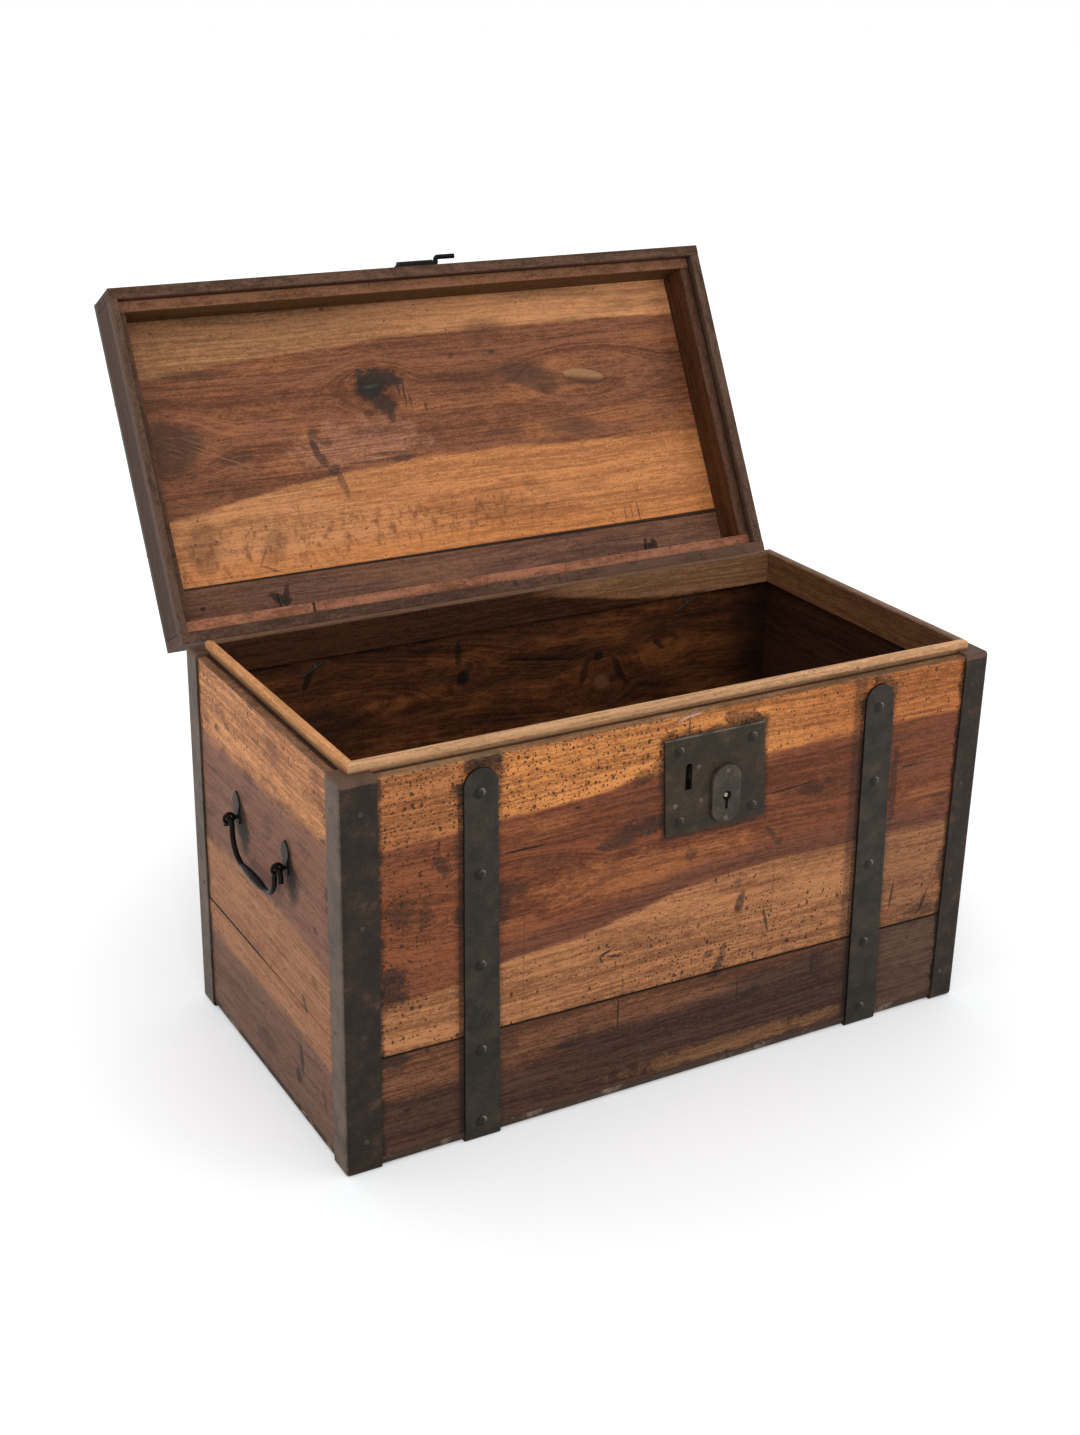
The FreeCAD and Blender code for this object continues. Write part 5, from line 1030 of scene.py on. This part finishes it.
strap_heads = nail_middles("strap_nails")
plate_heads = nail_middles("plate_nails")
print("nail heads", len(strap_heads), "on straps,", len(plate_heads), "on the plate")

# %% Iron
def nail_shadow_and_dirt(x, z, heads, grit):
    """Dirt and painted shadow below and left of nail heads, the strongest of them all; on
    the heads it paints their left side dark.
    """
    shadow_and_dirt = 0.0
    for u, v in heads:
        one = blot(x, z, (u - 0.0036, v - 0.001), (0.0062, 0.0066),
                   (grit - 0.5) * 0.6, 0.0, 0.55)
        shadow_and_dirt = one.most(shadow_and_dirt)
    return shadow_and_dirt


def iron(name, nodes, tone, rust, dull, seed, heads=(), face=None,
         gloss=0.45, top=None):
    """Dark iron. tone is its colour, rust from 0 to 1, dull its roughness.

    heads are the nails that have dirt and painted shadow round them, to the
    left; face is the y of the front surface, behind which the cut sides of the
    iron are painted black as painted shade; gloss is how strongly it mirrors;
    top is the height of an upper edge that is painted lighter as a painted
    highlight.
    """
    f = Finish(name)
    x, y, z = places(f)
    cloud = noise(x * 34 + seed, y * 34, z * 34, 4, 0.62)
    grit = noise(x * 420 + seed, y * 420, z * 420, 3, 0.7)
    dent = noise(x * 110 + seed, y * 110, z * 110, 2)
    colour = mix([c * 0.55 for c in tone], [c * 1.45 for c in tone],
                 smooth(cloud * 0.6 + grit * 0.4, 0.4, 0.62))
    spots = smooth(cloud + (grit - 0.5) * 0.3, 0.66 - rust * 0.3, 0.78 - rust * 0.3)
    colour = mix(colour, (0.082, 0.036, 0.018), spots * 0.55)
    if heads:
        # Dirt and painted shadow left of and below each nail head.
        colour = mix(colour, BLACK_SHADE_AND_DIRT, nail_shadow_and_dirt(x, z, heads, grit) * 0.94)
    # The sides of the iron behind its front face are painted black, as painted shade.
    if face:
        colour = mix(colour, BLACK_SHADE_AND_DIRT, smooth(y, face + 0.0004, face + 0.0009) * 0.9)
    # A lighter line along the upper edge: a painted highlight.
    if top:
        top_highlight = smooth(z, top - 0.0018, top - 0.001)
        colour = mix(colour, (0.15, 0.132, 0.108),
                     top_highlight * smooth(cloud, 0.36, 0.5, 0.2, 0.9))
    dusty = (smooth(x.size(), HALF_WIDTH + 0.0005, HALF_WIDTH + 0.0018)
             * smooth(y.size(), 0.1, 0.15))
    dust = mix((0.056, 0.038, 0.026), (0.155, 0.109, 0.077),
               smooth(cloud * 0.5 + grit * 0.5, 0.36, 0.62))
    fold = (smooth(z + (cloud - 0.5) * 0.004, LEDGE - 0.005, LEDGE - 0.003)
            * smooth(z, LEDGE + 0.004, LEDGE + 0.0032))
    colour = coats(
        colour, (dust, dusty * 0.9),
        ((0.118, 0.063, 0.039), fold * smooth(cloud, 0.35, 0.55, 0.6, 0.9)))
    shine = grit * 0.22 + cloud * 0.1 + (dull - 0.16)
    height = dent * 0.0006 + grit * 0.00012 + cloud * 0.0006
    metal = smooth(spots.most(dusty), 0.0, 1.0, 0.22, 0.05)
    plate(nodes, surface(f, colour, height, shine, gloss, 1.35, metal))


print("rough and black, with dirt round", len(strap_heads + plate_heads), "heads")

# %% [markdown]
# The handles and the hasp are the blackest. The rivets and the cover of the
# keyhole stand proud, so hands have rubbed them brighter. The nail heads
# stand proud too: their light tone is a painted highlight, and their left
# side is painted dark as painted shade.

# %% The ironwork
iron("corner_iron", CORNER_IRONS, (0.023, 0.014, 0.008), 0.3, 0.58, 1.0)
iron("strap_iron", ["left_strap", "right_strap"], (0.027, 0.02, 0.013), 0.15, 0.56,
     2, strap_heads, STRAP_FACE)
iron("plate_iron", ["lock_plate"], (0.031, 0.02, 0.009), 0.24, 0.52,
     3, plate_heads, top=PLATE_TOP)
iron("cover_iron", ["keyhole_cover"], (0.056, 0.041, 0.029), 0.24, 0.48, 4)
iron("handle_iron", ["left_bail", "right_bail", "left_handle_eyes", "right_handle_eyes"],
     (0.008, 0.006, 0.004), 0.1, 0.32, 5, gloss=0.15)
iron("leaf_iron", ["left_leaf_plates", "right_leaf_plates"],
     (0.018, 0.013, 0.01), 0.2, 0.46, 13, gloss=0.2)
iron("hasp_iron", ["hasp", "hasp_pin", "hasp_staple", "hasp_hinge_plate"],
     (0.009, 0.007, 0.005), 0.1, 0.45, 6, gloss=0.2)
iron("hinge_iron", ["chest_hinge_eyes", "lid_hinge_eyes"],
     (0.034, 0.026, 0.02), 0.3, 0.5, 7)
# The light tone of the nail heads is a painted highlight.
iron("nail_iron", ["strap_nails", "plate_nails", "lid_nails", "hinge_plate_nails"],
     (0.175, 0.146, 0.114), 0.1, 0.36, 8, strap_heads + plate_heads)
iron("corner_nail_iron", ["corner_nails"], (0.052, 0.04, 0.029), 0.25, 0.45, 12)
iron("rivet_iron", ["lock_rivets", "cover_rivets"], (0.1, 0.082, 0.062), 0.1, 0.34, 9)
iron("lock_iron", ["lock_case", "lock_bolt", "bolt_keeper", "bolt_spring"],
     (0.09, 0.08, 0.068), 0.3, 0.45, 10)
iron("key_pin_iron", ["key_pin"], (0.26, 0.23, 0.19), 0.0, 0.34, 11)

# %% [markdown]
# ## Floor and light
# The floor is pale and keeps the object's shadow. For the camera it glows a
# little, so that it ends in plain white and not in a grey horizon. The glow
# is weaker near the chest, which paints the floor round it darker, as a
# painted shadow. The sky is white to the camera and to reflections, and
# softer as a light.

# %% The floor
FLOOR_REACH = 14.0
floor_mesh = bpy.data.meshes.new("studio_floor")
corners = [(sx * FLOOR_REACH, sy * FLOOR_REACH, 0.0)
           for sx, sy in ((-1, -1), (1, -1), (1, 1), (-1, 1))]
floor_mesh.from_pydata(corners, [], [(0, 1, 2, 3)])
floor = placed("studio_floor", floor_mesh)


def seen_rays(f):
    """1 for rays that look at the background: direct, mirrored or through."""
    path = f.node("LightPath", {})
    sockets = path.socket.node.outputs
    camera_ray, glossy, through = (
        Wire(f, sockets[n])
        for n in ("Is Camera Ray", "Is Glossy Ray", "Is Transmission Ray"))
    return camera_ray.most(glossy).most(through)


f = Finish("studio_floor")
x, y = places(f)[:2]
body = f.node("BsdfDiffuse", {}, Color=(0.92, 0.94, 0.955))
away = f.node("Math", {"operation": "SQRT"}, x * x + y * y)
# The glow grows from 0.23 near the chest to 0.47 far off: painted shadow round the chest.
distance = smooth(away, 0.40, 0.95, 0.23, 0.47)
glow = f.node("Emission", {}, Color=mix(0.0, 1.0, distance), Strength=1.0)
lit = f.node("AddShader", {}, body, glow)
f.node("OutputMaterial", {}, f.node("MixShader", {}, seen_rays(f), body, lit))
floor.data.materials.append(f.material)
print("floor", FLOOR_REACH * 2, "m wide")

# %% The sky
SKY_LIGHT = 0.75
world = bpy.data.worlds.new("studio_sky")
bpy.context.scene.world = world
world.use_nodes = True
world.node_tree.nodes.clear()


class Sky(Finish):
    """The world has a node tree of its own, and takes the same tools."""

    def __init__(self, world):
        self.tree = world.node_tree


f = Sky(world)
strength = seen_rays(f) * (1.0 - SKY_LIGHT) + SKY_LIGHT
sky = f.node("Background", {}, Color=(1.0, 1.0, 1.0), Strength=strength)
f.node("OutputWorld", {}, sky)
print("sky lights at", SKY_LIGHT)

# %% The lamps
def lamp(name, place, target, size, power):
    """A square soft box that faces its target."""
    data = bpy.data.lights.new(name, "AREA")
    data.size, data.energy = size, power
    made = placed(name, data)
    way = Vector(target) - Vector(place)
    made.matrix_world = (Matrix.Translation(place)
                         @ way.to_track_quat("-Z", "Y").to_matrix().to_4x4())
    print(name, power, "W")


lamp("key_box", (-1.6, -2.6, 2.6), (0.0, 0.0, 0.35), 1.6, 32.0)
lamp("fill_box", (2.4, -2.4, 1.6), (0.0, 0.0, 0.35), 1.8, 10.0)

# %% [markdown]
# ## View
# The colours are shown with the Standard view transform.

# %% The view transform
bpy.context.scene.view_settings.view_transform = "Standard"
